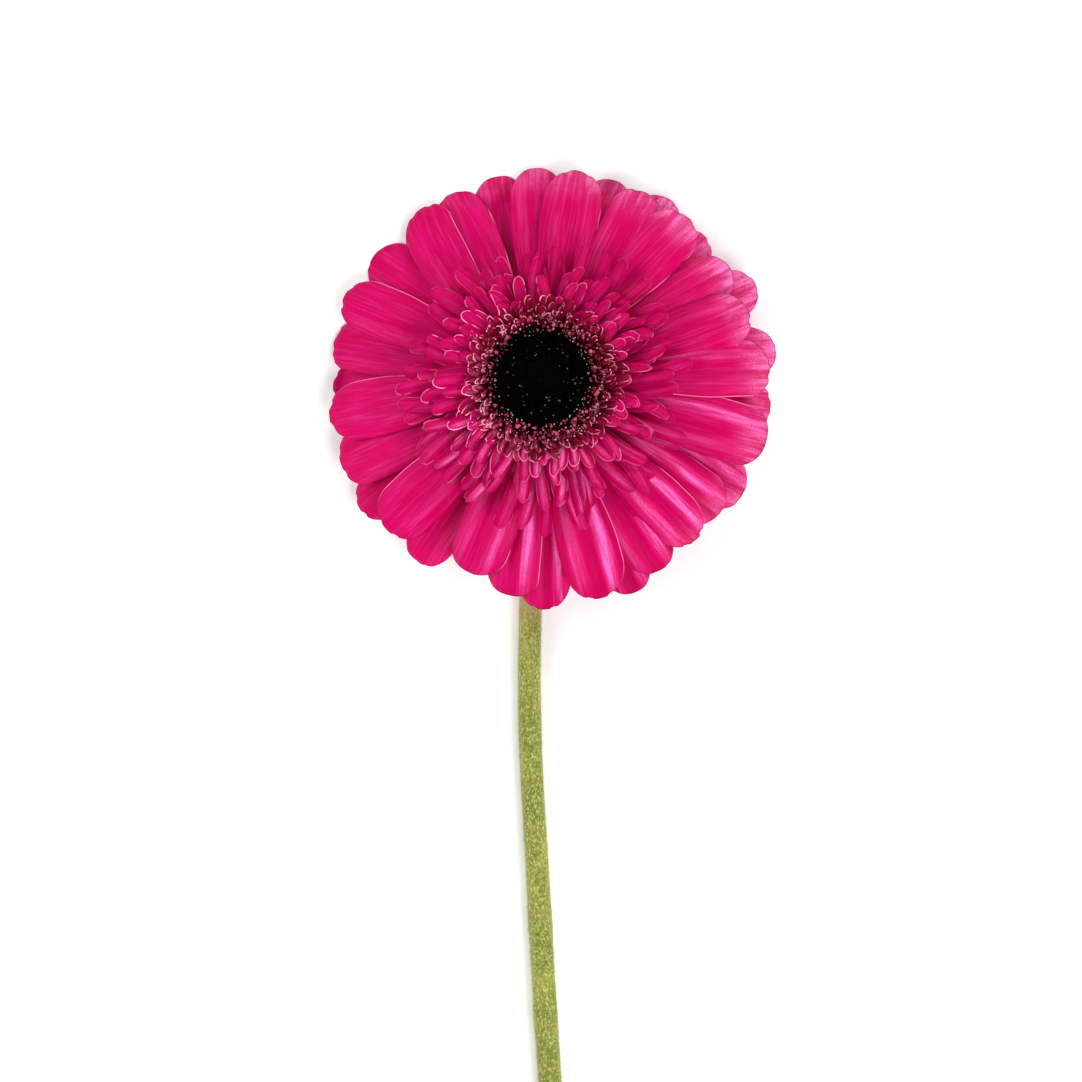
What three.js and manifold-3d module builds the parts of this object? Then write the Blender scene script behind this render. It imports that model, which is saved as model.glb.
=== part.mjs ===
import * as THREE from 'three';
import { mergeVertices } from 'three/addons/utils/BufferGeometryUtils.js';
import Module from 'manifold-3d';

// A cut gerbera that lies on a flat surface with its bloom facing up. Millimetres, +Z up.
// The stem runs along -Y, and the origin is on the surface, under the middle of the bounding box.

const { degToRad, lerp, smoothstep, seededRandom } = THREE.MathUtils;

// Bloom: where its middle is, and how far and which way its face leans from straight up.
const HEAD_CENTRE = new THREE.Vector3(-2, 84.5, 25.7);
const HEAD_LEAN = degToRad(11);
const HEAD_LEANS_TOWARDS = degToRad(130);

// Clearance between a piece and the next one on the head.
const GAP = 0.3;

// Stem: the middle line on the surface as [x, y] from the head's centre, and the radii at the cup,
// along it and at the cut. The pull is how far the neck's curve reaches into its corner.
const STEM_LINE = [
  [0.4, -24],
  [-2.4, -42],
  [-3.4, -66],
  [-3.1, -90],
  [-1.7, -115],
  [0.4, -152],
  [2.6, -186],
  [4.4, -220.4],
];
const STEM_RADIUS = 2.75;
const STEM_CUT_RADIUS = 2.9;
const STEM_NECK_RADIUS = 3.4;
const STEM_FLARE_LENGTH = 34;
const STEM_NECK_PULL = 0.56;
const STEM_SIDES = 12;
const STEM_NECK_STEPS = 10;
const STEM_STEPS = 38;
const STEM_CUT_SLANT = degToRad(32);

// Every whorl of blades below has rows that differ in where they spring from the head, how steeply
// they rise, how far they bend down on the way and how long and wide they are. A profile gives the
// root's share of the full width, where along the blade it is widest, and how its tip closes.

// Cup of green scales under the bloom, as radii and heights on the head's own axis.
const CUP_BOTTOM = -13;
const CUP_TOP = -4.9;
const CUP_OUTLINE = [
  [3.4, CUP_BOTTOM],
  [6.0, -12.3],
  [9.6, -9.4],
  [10.2, CUP_TOP],
];
const SCALES = {
  thickness: 0.9,
  roll: degToRad(9),
  scatter: 0.06,
  stations: [0, 0.45, 0.8, 1],
  profile: { rootShare: 1, widestAt: 1, tipCut: 0.96, tipPower: 3 },
  rows: [
    {
      count: 16, rootRadius: 4.6, rootHeight: -12.5, rise: degToRad(16), bend: degToRad(-40),
      shortest: 9.4, longest: 10.0, width: 4.9,
    },
    {
      count: 16, rootRadius: 7.8, rootHeight: -9.3, rise: degToRad(26), bend: degToRad(-38),
      shortest: 5.4, longest: 5.9, width: 4.4,
    },
  ],
};

// Outer rays: all spring from one ring, in four tiers, and droop towards their tips.
const RING_RADIUS = 13.3;
const RING_BOTTOM = CUP_TOP + GAP;
const RING_TOP = -0.5;
const RAY_ROOT_RADIUS = 10.8;
const RAY_THICKNESS = 0.65;
const RAY_ARCH = 1.1;
const RAY_FOLD = 0.28;
const RAY_PROFILE = { rootShare: 0.4, widestAt: 0.64, tipCut: 0.982, tipPower: 8 };
const RAY_TIERS = [
  { rootHeight: -1.1, rise: degToRad(-4), bend: degToRad(21) },
  { rootHeight: -2.5, rise: degToRad(-6), bend: degToRad(22) },
  { rootHeight: -3.9, rise: degToRad(-9), bend: degToRad(23) },
  { rootHeight: -3.9, rise: degToRad(-14), bend: degToRad(34) },
];
const RAY_STATIONS = [0, 0.24, 0.5, 0.74, 0.92, 1];
const RAY_COLUMNS = 4;
const RAY_AIM_PASSES = 8;
const PRESSED_HEIGHT = 0.1;

// Where the rays' tips show from straight above: degrees from +X round a middle that is set off from
// the head's centre, reach, full width, tier (0 in front, 3 the ones that the bloom rests on) and
// sideways swing in degrees.
const BLOOM_MIDDLE_OFFSET = new THREE.Vector2(1.1, 0.1);
const RAYS = [
  [4.5, 53.9, 14.2, 0, 0],
  [9, 55.8, 13, 2, 0],
  [20, 51.6, 14.2, 0, 2],
  [26, 56, 13, 2, 0],
  [33, 52.4, 13.4, 1, 0],
  [44, 52.7, 13, 2, 1],
  [50, 52.9, 14.4, 0, -2],
  [57, 53.9, 12.4, 2, 0],
  [63, 52.4, 13.6, 0, 2],
  [72.5, 52.9, 13, 2, 0],
  [82, 52.9, 14.4, 0, 0],
  [93, 52.9, 13.2, 1, 0],
  [104.5, 53, 14, 2, -1],
  [117, 53, 13.2, 1, 0],
  [126, 53.4, 13.2, 0, -6],
  [143.5, 52.8, 13.8, 1, 2],
  [156.5, 53.9, 13.2, 0, 0],
  [168, 53.6, 13.8, 1, 0],
  [180, 52.8, 13, 2, 0],
  [188, 54.1, 14.4, 0, 0],
  [201, 54, 14.8, 1, 0],
  [213, 54.8, 13, 2, 0],
  [222, 52.9, 14.6, 0, 0],
  [233, 53.9, 13, 2, 0],
  [247, 49.8, 14.4, 0, -2],
  [260, 52, 13, 1, 2],
  [269, 54.6, 13, 2, 0],
  [284, 53.4, 14.8, 0, 0],
  [293, 54.6, 12.8, 2, 0],
  [301, 52.6, 13.4, 1, 0],
  [313, 52, 13.4, 0, 1],
  [323, 52.2, 13.2, 1, 0],
  [331, 54.4, 13.4, 2, 0],
  [345, 54.2, 14.6, 0, 0],
  [354, 54.4, 13, 2, 0],
  [65, 48.5, 12.6, 3, 0],
  [137, 47.5, 12.6, 3, 0],
  [195, 48.5, 12.6, 3, 0],
  [250, 46, 12.6, 2, 0],
  [314, 47, 12.6, 2, 0],
];

// Inner florets: three rows on a core of their own, outermost first.
const INNER_CORE_RADIUS = 12.8;
const INNER_CORE_BOTTOM = RING_TOP + GAP;
const INNER_CORE_TOP = 3.2;
const INNER_FLORETS = {
  rootRadius: 10.6,
  thickness: 0.9,
  roll: degToRad(13),
  scatter: 0.12,
  stations: [0, 0.45, 0.85, 1],
  profile: { rootShare: 0.34, widestAt: 0.6, tipCut: 0.97, tipPower: 6 },
  rows: [
    {
      count: 36, rootHeight: 0.7, rise: degToRad(-1), bend: degToRad(9),
      shortest: 20.5, longest: 23.5, width: 4.4,
    },
    {
      count: 32, rootHeight: 1.5, rise: degToRad(4), bend: degToRad(6),
      shortest: 15.5, longest: 18.0, width: 3.9,
    },
    {
      count: 27, rootHeight: 2.4, rise: degToRad(9), bend: degToRad(3),
      shortest: 10.0, longest: 12.5, width: 3.4,
    },
  ],
};

// Small hooked florets round the disc, in three rows from the outside in.
const HOOK_CORE_RADIUS = 14.4;
const HOOK_CORE_BOTTOM = INNER_CORE_TOP + GAP;
const HOOK_CORE_TOP = 4.6;
const HOOKED_FLORETS = {
  rootHeight: 4.2,
  thickness: 0.65,
  roll: degToRad(8),
  scatter: 0.15,
  stations: [0, 0.35, 0.7, 1],
  profile: { rootShare: 0.6, widestAt: 0.5, tipCut: 0.95, tipPower: 4 },
  rows: [
    {
      count: 25, rootRadius: 13.8, rise: degToRad(28), bend: degToRad(38),
      shortest: 6.2, longest: 7.6, width: 2.3,
    },
    {
      count: 23, rootRadius: 13.5, rise: degToRad(50), bend: degToRad(62),
      shortest: 4.9, longest: 6.0, width: 2.2,
    },
    {
      count: 20, rootRadius: 13.2, rise: degToRad(76), bend: degToRad(74),
      shortest: 3.8, longest: 4.5, width: 2.0,
    },
  ],
};

// Dark disc: a low dome, a little sunk in the middle, covered with buds in a spiral.
const DISC_RADIUS = 12.4;
const DISC_BOTTOM = HOOK_CORE_TOP + GAP;
const DISC_UNDERCUT = 0.6;
const DISC_SHOULDER = 6.4;
const DISC_CROWN = 7.7;
const DISC_MIDDLE = 7.0;
const DISC_CROWN_SHARE = 0.55;
const DISC_STATIONS = [1, 0.8, 0.55, 0.3, 0];
const BUD_COUNT = 78;
const BUD_RADIUS = 0.9;
const BUD_LENGTH = 2.0;
const BUD_LENGTH_SPREAD = 0.1;
const BUD_SIDES = 5;
const BUD_LIFT = 0.2;
const BUD_LEAN = degToRad(30);
const BUD_REACH = 11.4;
const GOLDEN_ANGLE = Math.PI * (3 - Math.sqrt(5));

const CORE_EDGE = 0.4;
const KEEL_TIP_SHARE = 0.7;
const ROUND_SEGMENTS = 24;
const MERGE_TOLERANCE = 1e-4;
const FUSE_TOLERANCE = 0.02;
const RANDOM_SEED = 11;

const wasm = await Module();
wasm.setup();

// The head's own frame: +Z is the way that the bloom faces.
const facing = new THREE.Vector3(
  Math.sin(HEAD_LEAN) * Math.cos(HEAD_LEANS_TOWARDS),
  Math.sin(HEAD_LEAN) * Math.sin(HEAD_LEANS_TOWARDS),
  Math.cos(HEAD_LEAN),
);
const headTurn = new THREE.Quaternion().setFromUnitVectors(new THREE.Vector3(0, 0, 1), facing);
const upInHead = new THREE.Vector3(0, 0, 1).applyQuaternion(headTurn.clone().invert());

function draw(low, high) {
  return lerp(low, high, seededRandom());
}

function toSolid(geometry) {
  const bare = new THREE.BufferGeometry();
  bare.setAttribute('position', geometry.getAttribute('position').clone());
  bare.setIndex(geometry.getIndex());
  const merged = mergeVertices(bare, MERGE_TOLERANCE);
  const corners = merged.getIndex().array;
  const triangles = [];
  for (let i = 0; i < corners.length; i += 3) {
    const [a, b, c] = corners.slice(i, i + 3);
    if (a !== b && b !== c && c !== a) triangles.push(a, b, c);
  }
  return new wasm.Manifold(new wasm.Mesh({
    numProp: 3,
    vertProperties: new Float32Array(merged.getAttribute('position').array),
    triVerts: new Uint32Array(triangles),
  }));
}

// Joins the solids, and keeps the outer skin of the largest body: sealed pockets come out filled.
function fuse(solids) {
  const pieces = wasm.Manifold.union(solids).simplify(FUSE_TOLERANCE).decompose();
  const largest = pieces.reduce((best, piece) => (piece.volume() > best.volume() ? piece : best));
  const mesh = largest.getMesh();
  const geometry = new THREE.BufferGeometry();
  geometry.setAttribute('position', new THREE.BufferAttribute(new Float32Array(mesh.vertProperties), 3));
  geometry.setIndex(new THREE.BufferAttribute(new Uint32Array(mesh.triVerts), 1));
  return geometry;
}

// A solid turned about the head's axis, from [radius, height] points that go up its outside.
function turned(outline) {
  const points = outline.map(([radius, height]) => new THREE.Vector2(radius, height));
  return new THREE.LatheGeometry(points, ROUND_SEGMENTS).rotateX(Math.PI / 2);
}

// A core of the head between two heights, with its edges taken off.
function core(radius, bottom, top) {
  return turned([
    [0, bottom],
    [radius - CORE_EDGE, bottom],
    [radius, bottom + CORE_EDGE],
    [radius, top - CORE_EDGE],
    [radius - CORE_EDGE, top],
    [0, top],
  ]);
}

// A closed solid through rings of points, each ring running anticlockwise round the way ahead.
function loft(rings) {
  const sides = rings[0].length;
  const faces = [];
  for (let ring = 0; ring < rings.length - 1; ring += 1) {
    for (let side = 0; side < sides; side += 1) {
      const a = ring * sides + side;
      const b = ring * sides + ((side + 1) % sides);
      faces.push(a, b, b + sides, a, b + sides, a + sides);
    }
  }
  const end = (rings.length - 1) * sides;
  for (let low = 0, high = sides - 1; high - low > 1; low += 1, high -= 1) {
    faces.push(low, high, low + 1, end + low, end + low + 1, end + high);
    if (high - low > 2) {
      faces.push(low + 1, high, high - 1, end + low + 1, end + high - 1, end + high);
    }
  }
  const geometry = new THREE.BufferGeometry().setFromPoints(rings.flat());
  geometry.setIndex(faces);
  return geometry;
}

// A closed sheet of even thickness about a grid of points, with the same split of its cells on both faces.
function sheet(grid, thickness) {
  const rows = grid.length;
  const columns = grid[0].length;
  const offsets = grid.flatMap((line, row) => line.map((point, column) => {
    const along = grid[Math.min(row + 1, rows - 1)][column].clone().sub(grid[Math.max(row - 1, 0)][column]);
    const across = line[Math.min(column + 1, columns - 1)].clone().sub(line[Math.max(column - 1, 0)]);
    return along.cross(across).setLength(thickness / 2);
  }));
  const top = grid.flat().map((point, index) => point.clone().add(offsets[index]));
  const bottom = grid.flat().map((point, index) => point.clone().sub(offsets[index]));
  const below = rows * columns;
  const faces = [];
  const wall = (from, to) => faces.push(from, to, to + below, from, to + below, from + below);
  for (let row = 0; row < rows - 1; row += 1) {
    for (let column = 0; column < columns - 1; column += 1) {
      const a = row * columns + column;
      const b = a + columns;
      faces.push(a, b, b + 1, a, b + 1, a + 1);
      faces.push(a + below, b + 1 + below, b + below, a + below, a + 1 + below, b + 1 + below);
    }
    wall((row + 1) * columns, row * columns);
    wall(row * columns + columns - 1, (row + 1) * columns + columns - 1);
  }
  for (let column = 0; column < columns - 1; column += 1) {
    wall(column, column + 1);
    wall(below - columns + column + 1, below - columns + column);
  }
  const geometry = new THREE.BufferGeometry().setFromPoints([...top, ...bottom]);
  geometry.setIndex(faces);
  return geometry;
}

// A blade's middle line at s, from 0 at its root to 1 at its tip. It leaves at the angle `rise` above
// the head's plane, bends evenly down by `bend`, and swings sideways by `swing`.
function middleLine(blade, s) {
  const angle = blade.rise - blade.bend * s;
  const radius = blade.rootRadius + blade.length * (Math.sin(blade.rise) - Math.sin(angle)) / blade.bend;
  const height = blade.rootHeight + blade.length * (Math.cos(angle) - Math.cos(blade.rise)) / blade.bend;
  const azimuth = blade.azimuth + (blade.swing ?? 0) * s * s;
  const outward = new THREE.Vector3(Math.cos(azimuth), Math.sin(azimuth), 0);
  return {
    point: outward.clone().multiplyScalar(radius).setZ(height),
    side: new THREE.Vector3(-Math.sin(azimuth), Math.cos(azimuth), 0),
    normal: outward.clone().multiplyScalar(-Math.sin(angle)).setZ(Math.cos(angle)),
  };
}

// A blade's share of its full width at s.
function spreadAt({ rootShare, widestAt, tipCut, tipPower }, s) {
  return lerp(rootShare, 1, smoothstep(s, 0, widestAt)) * Math.sqrt(1 - (s * tipCut) ** tipPower);
}

// A three-sided blade, flat on its face with a keel along its back.
function keeledBlade(blade) {
  return loft(blade.stations.map((s) => {
    const { point, side, normal } = middleLine(blade, s);
    const halfWidth = blade.width / 2 * spreadAt(blade.profile, s);
    const keel = blade.thickness * lerp(1, KEEL_TIP_SHARE, s);
    const ahead = side.clone().cross(normal);
    side.applyAxisAngle(ahead, blade.roll);
    normal.applyAxisAngle(ahead, blade.roll);
    return [
      point.clone().addScaledVector(side, -halfWidth),
      point.clone().addScaledVector(normal, -keel),
      point.clone().addScaledVector(side, halfWidth),
    ];
  }));
}

// Rows of such blades. Those of each further row stand half a step between the ones before.
function whorl(kind) {
  return kind.rows.flatMap((row, order) => Array.from({ length: row.count }, (_, index) => {
    const length = draw(row.shortest, row.longest);
    const turn = index + order / 2 + draw(-kind.scatter, kind.scatter);
    return keeledBlade({ ...kind, ...row, length, azimuth: turn * 2 * Math.PI / row.count });
  }));
}

// Lifts a point of the head's frame that is lower than `low` over the surface up to `target`.
function liftFromSurface(point, low, target = low) {
  const height = HEAD_CENTRE.z + upInHead.dot(point);
  return height < low ? point.addScaledVector(upInHead, target - height) : point;
}

// Presses the underside of a blade that lies on the surface quite flat.
function pressFlat(geometry) {
  const position = geometry.getAttribute('position');
  const point = new THREE.Vector3();
  for (let i = 0; i < position.count; i += 1) {
    liftFromSurface(point.fromBufferAttribute(position, i), PRESSED_HEIGHT, 0);
    position.setXYZ(i, ...point);
  }
  return geometry;
}

// Turns and stretches a ray until its tip, seen from straight above, is where it should be.
function reachFor(ray, aim) {
  for (let pass = 0; pass < RAY_AIM_PASSES; pass += 1) {
    const tip = middleLine(ray, 1).point.applyQuaternion(headTurn);
    const shown = new THREE.Vector2(tip.x, tip.y);
    ray.azimuth += Math.atan2(shown.cross(aim), shown.dot(aim));
    ray.length += aim.length() - shown.length();
  }
  return ray;
}

function rayBlade([azimuthDegrees, reach, width, tier, swingDegrees]) {
  const azimuth = degToRad(azimuthDegrees);
  const way = new THREE.Vector2(Math.cos(azimuth), Math.sin(azimuth));
  const start = {
    ...RAY_TIERS[tier],
    azimuth,
    swing: degToRad(swingDegrees),
    rootRadius: RAY_ROOT_RADIUS,
    length: reach - RAY_ROOT_RADIUS,
  };
  const ray = reachFor(start, way.multiplyScalar(reach).add(BLOOM_MIDDLE_OFFSET));
  const grid = RAY_STATIONS.map((s) => {
    const { point, side, normal } = middleLine(ray, s);
    const spread = spreadAt(RAY_PROFILE, s);
    return Array.from({ length: RAY_COLUMNS + 1 }, (_, column) => {
      const v = 2 * column / RAY_COLUMNS - 1;
      const lift = RAY_FOLD * Math.cos(2 * Math.PI * v) - RAY_ARCH * v * v;
      const edge = point.clone().addScaledVector(side, v * spread * width / 2);
      return liftFromSurface(edge.addScaledVector(normal, lift * spread * spread), RAY_THICKNESS / 2);
    });
  });
  return pressFlat(sheet(grid, RAY_THICKNESS));
}

function rayFlorets() {
  return fuse([core(RING_RADIUS, RING_BOTTOM, RING_TOP), ...RAYS.map(rayBlade)].map(toSolid));
}

function innerFlorets() {
  const middle = core(INNER_CORE_RADIUS, INNER_CORE_BOTTOM, INNER_CORE_TOP);
  return fuse([middle, ...whorl(INNER_FLORETS)].map(toSolid));
}

function hookedFlorets() {
  const middle = core(HOOK_CORE_RADIUS, HOOK_CORE_BOTTOM, HOOK_CORE_TOP);
  return fuse([middle, ...whorl(HOOKED_FLORETS)].map(toSolid));
}

// Height of the dome's skin at a distance from the head's axis.
function domeHeight(radius) {
  const share = radius / DISC_RADIUS;
  const shoulder = lerp(DISC_CROWN, DISC_SHOULDER, share ** 4);
  return shoulder - (DISC_CROWN - DISC_MIDDLE) * (1 - smoothstep(share, 0, DISC_CROWN_SHARE));
}

function bud(index) {
  const radius = BUD_REACH * Math.sqrt((index + 0.5) / BUD_COUNT);
  const azimuth = index * GOLDEN_ANGLE;
  const length = BUD_LENGTH * draw(1 - BUD_LENGTH_SPREAD, 1 + BUD_LENGTH_SPREAD);
  const cone = new THREE.ConeGeometry(BUD_RADIUS, length, BUD_SIDES).rotateX(Math.PI / 2);
  cone.rotateY(BUD_LEAN * radius / DISC_RADIUS).rotateZ(azimuth);
  const height = domeHeight(radius) + BUD_LIFT;
  return cone.translate(radius * Math.cos(azimuth), radius * Math.sin(azimuth), height);
}

function discFlorets() {
  const skin = DISC_STATIONS.map((share) => [share * DISC_RADIUS, domeHeight(share * DISC_RADIUS)]);
  const dome = turned([[0, DISC_BOTTOM], [DISC_RADIUS - DISC_UNDERCUT, DISC_BOTTOM], ...skin]);
  const buds = Array.from({ length: BUD_COUNT }, (_, index) => bud(index));
  return fuse([dome, ...buds].map(toSolid));
}

function involucre() {
  const cup = turned([[0, CUP_BOTTOM], ...CUP_OUTLINE, [0, CUP_TOP]]);
  return fuse([cup, ...whorl(SCALES)].map(toSolid));
}

// The stem's middle line: down from the cup, round the bent neck, and along the surface.
function stemPath(topCentre) {
  const restHeight = STEM_RADIUS * Math.cos(Math.PI / STEM_SIDES);
  const drop = (topCentre.z - restHeight) / facing.z;
  const corner = topCentre.clone().addScaledVector(facing, -drop);
  const middle = new THREE.Vector3(HEAD_CENTRE.x, HEAD_CENTRE.y, restHeight);
  const line = STEM_LINE.map(([x, y]) => new THREE.Vector3(x, y, 0).add(middle));
  const neckEnd = corner.clone().add(line[0].clone().sub(corner).setLength(drop));
  const [first, second] = [topCentre, neckEnd].map((end) => end.clone().lerp(corner, STEM_NECK_PULL));
  const neck = new THREE.CubicBezierCurve3(topCentre, first, second, neckEnd);
  return { neck, run: new THREE.CatmullRomCurve3([neckEnd, ...line], false, 'centripetal') };
}

// One ring of the stem's skin, which is no lower than the surface. A slant sets its upper side ahead.
function stemRing(centre, ahead, radius, slant) {
  const side = new THREE.Vector3(1, 0, 0).addScaledVector(ahead, -ahead.x).normalize();
  const up = ahead.clone().cross(side);
  const lift = Math.max(0, radius * Math.cos(Math.PI / STEM_SIDES) - centre.z);
  return Array.from({ length: STEM_SIDES }, (_, corner) => {
    const angle = (corner + 0.5) * 2 * Math.PI / STEM_SIDES;
    const rise = radius * Math.sin(angle);
    const point = centre.clone().addScaledVector(side, radius * Math.cos(angle));
    point.addScaledVector(up, rise).addScaledVector(ahead, rise * slant);
    point.z += lift;
    return point;
  });
}

function stem() {
  const { neck, run } = stemPath(HEAD_CENTRE.clone().addScaledVector(facing, CUP_BOTTOM - GAP));
  const total = neck.getLength() + run.getLength();
  const radiusAt = (travelled) => {
    const neckShare = 1 - smoothstep(travelled, 0, STEM_FLARE_LENGTH);
    const cutShare = smoothstep(travelled, STEM_FLARE_LENGTH, total);
    return STEM_RADIUS + (STEM_NECK_RADIUS - STEM_RADIUS) * neckShare
      + (STEM_CUT_RADIUS - STEM_RADIUS) * cutShare;
  };
  const rings = [];
  const addRing = (curve, share, before, slant) => rings.push(stemRing(
    curve.getPointAt(share), curve.getTangentAt(share), radiusAt(before + share * curve.getLength()), slant,
  ));
  for (let step = 0; step < STEM_NECK_STEPS; step += 1) addRing(neck, step / STEM_NECK_STEPS, 0, 0);
  for (let step = 0; step < STEM_STEPS; step += 1) addRing(run, step / STEM_STEPS, neck.getLength(), 0);
  addRing(run, 1, neck.getLength(), Math.tan(STEM_CUT_SLANT));
  return loft(rings);
}

function addPiece(parent, name, geometry, color, roughness) {
  const mesh = new THREE.Mesh(geometry, new THREE.MeshStandardMaterial({ color, roughness, metalness: 0 }));
  mesh.name = name;
  parent.add(mesh);
}

seededRandom(RANDOM_SEED);

const head = new THREE.Group();
head.position.copy(HEAD_CENTRE);
head.quaternion.copy(headTurn);
addPiece(head, 'involucre', involucre(), 0x8c9a4c, 0.7);
addPiece(head, 'ray_florets', rayFlorets(), 0xe0276f, 0.55);
addPiece(head, 'trans_florets', innerFlorets(), 0xb1124c, 0.55);
addPiece(head, 'rim_florets', hookedFlorets(), 0xb93a66, 0.55);
addPiece(head, 'disc_florets', discFlorets(), 0x0d0709, 0.8);

const flower = new THREE.Group();
addPiece(flower, 'stem', stem(), 0xa09c58, 0.75);
flower.add(head);

export default flower;
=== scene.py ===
import math
import random

import bpy
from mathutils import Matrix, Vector


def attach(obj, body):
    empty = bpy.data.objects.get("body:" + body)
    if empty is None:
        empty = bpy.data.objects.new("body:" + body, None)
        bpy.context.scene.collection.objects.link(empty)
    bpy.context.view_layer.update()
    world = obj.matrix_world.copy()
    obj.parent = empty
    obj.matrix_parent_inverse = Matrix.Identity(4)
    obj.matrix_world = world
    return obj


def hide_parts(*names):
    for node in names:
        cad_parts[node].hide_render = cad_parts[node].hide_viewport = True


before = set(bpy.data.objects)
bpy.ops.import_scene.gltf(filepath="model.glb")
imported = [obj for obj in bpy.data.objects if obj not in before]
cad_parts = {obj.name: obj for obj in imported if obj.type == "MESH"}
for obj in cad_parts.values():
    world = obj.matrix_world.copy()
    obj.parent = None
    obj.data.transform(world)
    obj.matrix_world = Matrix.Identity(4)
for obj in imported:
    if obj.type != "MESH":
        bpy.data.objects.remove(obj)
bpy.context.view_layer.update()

mm = 0.001
goldenAngle = math.pi * (3 - math.sqrt(5))

head = {  # where the middle of the bloom is, in mm, and how far and which way it leans, in degrees
    "centre": (-2.0, 84.5, 25.7),
    "lean": 11,
    "leansTowards": 130,
}
lean = math.radians(head["lean"])
leanWay = math.radians(head["leansTowards"])
facing = Vector((math.sin(lean) * math.cos(leanWay), math.sin(lean) * math.sin(leanWay), math.cos(lean)))
headTurn = Vector((0, 0, 1)).rotation_difference(facing)
headCentre = Vector(head["centre"])


def colour(red, green, blue):  # from 0..255 as seen on a screen to the renderer's own linear values
    shares = [value / 255 for value in (red, green, blue)]
    linear = [s / 12.92 if s <= 0.04045 else ((s + 0.055) / 1.055) ** 2.4 for s in shares]
    return (*linear, 1.0)


def pickSocket(sockets, key):  # by place or by name, among those that the node's settings leave in use
    usable = [socket for socket in sockets if socket.enabled]
    if isinstance(key, int):
        return usable[key]
    return next(socket for socket in usable if socket.name == key)


class Link:  # the value of one socket: sums on it add Math nodes
    def __init__(self, maker, socket):
        self.maker = maker
        self.socket = socket

    def maths(self, operation, *values):
        return self.maker.add("ShaderNodeMath", dict(enumerate(values)), operation=operation)

    def __add__(self, other):
        return self.maths("ADD", self, other)

    __radd__ = __add__

    def __sub__(self, other):
        return self.maths("SUBTRACT", self, other)

    def __rsub__(self, other):
        return self.maths("SUBTRACT", other, self)

    def __mul__(self, other):
        return self.maths("MULTIPLY", self, other)

    __rmul__ = __mul__

    def __truediv__(self, other):
        return self.maths("DIVIDE", self, other)

    def __rtruediv__(self, other):
        return self.maths("DIVIDE", other, self)

    def __pow__(self, other):
        return self.maths("POWER", self, other)

    def __neg__(self):
        return self * -1

    def __abs__(self):
        return self.maths("ABSOLUTE", self)

    def sin(self):
        return self.maths("SINE", self)

    def cos(self):
        return self.maths("COSINE", self)

    def exp(self):
        return self.maths("EXPONENT", self)

    def atLeast(self, other):
        return self.maths("MAXIMUM", self, other)

    def atMost(self, other):
        return self.maths("MINIMUM", self, other)

    def smooth(self, low, high, start=0.0, end=1.0):
        values = {"Value": self, "From Min": low, "From Max": high, "To Min": start, "To Max": end}
        return self.maker.add("ShaderNodeMapRange", values, "Result", interpolation_type="SMOOTHSTEP")


class Maker:  # fills one node tree
    def __init__(self, tree):
        self.tree = tree

    def add(self, kind, sockets, out=0, **settings):
        node = self.tree.nodes.new(kind)
        for name, value in settings.items():
            setattr(node, name, value)
        for key, value in sockets.items():
            socket = pickSocket(node.inputs, key)
            for one in value if isinstance(value, list) else [value]:
                if isinstance(one, Link):
                    self.tree.links.new(one.socket, socket)
                else:
                    socket.default_value = one
        if isinstance(out, tuple):
            return [Link(self, pickSocket(node.outputs, name)) for name in out]
        return Link(self, pickSocket(node.outputs, out)) if node.outputs else None

    def xyz(self, vector):
        return self.add("ShaderNodeSeparateXYZ", {0: vector}, ("X", "Y", "Z"))

    def vector(self, x, y, z):
        return self.add("ShaderNodeCombineXYZ", {"X": x, "Y": y, "Z": z}, "Vector")

    def noise(self, vector, scale=1.0, detail=2.0):
        return self.add("ShaderNodeTexNoise", {"Vector": vector, "Scale": scale, "Detail": detail}, 0)

    def mix(self, factor, first, second):  # of two colours
        values = {"Factor": factor, "A": first, "B": second}
        return self.add("ShaderNodeMix", values, "Result", data_type="RGBA")


def newGroup(name, inputs):  # a Geometry Nodes tree with these named inputs beside its geometry
    group = bpy.data.node_groups.new(name, "GeometryNodeTree")
    group.interface.new_socket("Geometry", in_out="INPUT", socket_type="NodeSocketGeometry")
    for label, kind in inputs.items():
        group.interface.new_socket(label, in_out="INPUT", socket_type="NodeSocket" + kind)
    group.interface.new_socket("Geometry", in_out="OUTPUT", socket_type="NodeSocketGeometry")
    maker = Maker(group)
    entry = group.nodes.new("NodeGroupInput")
    return group, maker, {socket.name: Link(maker, socket) for socket in entry.outputs if socket.name}


def named(geo, name):
    return geo.add("GeometryNodeInputNamedAttribute", {"Name": name}, "Attribute", data_type="FLOAT")


def store(geo, geometry, name, value, kind="FLOAT"):
    values = {"Geometry": geometry, "Name": name, "Value": value}
    return geo.add("GeometryNodeStoreNamedAttribute", values, "Geometry", data_type=kind)


def place(geo, geometry, position):
    return geo.add("GeometryNodeSetPosition", {"Geometry": geometry, "Position": position}, "Geometry")


def pointPlace(geo):  # the x, y and z of each point as it is so far
    return geo.xyz(geo.add("GeometryNodeInputPosition", {}, "Position"))


def copyOnto(geo, values):  # real copies of a shape on points
    copies = geo.add("GeometryNodeInstanceOnPoints", values, "Instances")
    return geo.add("GeometryNodeRealizeInstances", {"Geometry": copies}, "Geometry")


def ontoHead(geo, geometry):  # from mm in the head's own frame to metres in the model's
    values = {
        "Geometry": geometry,
        "Translation": headCentre * mm,
        "Rotation": headTurn.to_euler(),
        "Scale": (mm, mm, mm),
    }
    return geo.add("GeometryNodeTransform", values, "Geometry")


def keepAbove(geo, geometry, lowest):  # nothing goes into the surface that the flower lies on
    x, y, z = pointPlace(geo)
    return place(geo, geometry, geo.vector(x, y, z.atLeast(lowest)))


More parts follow.
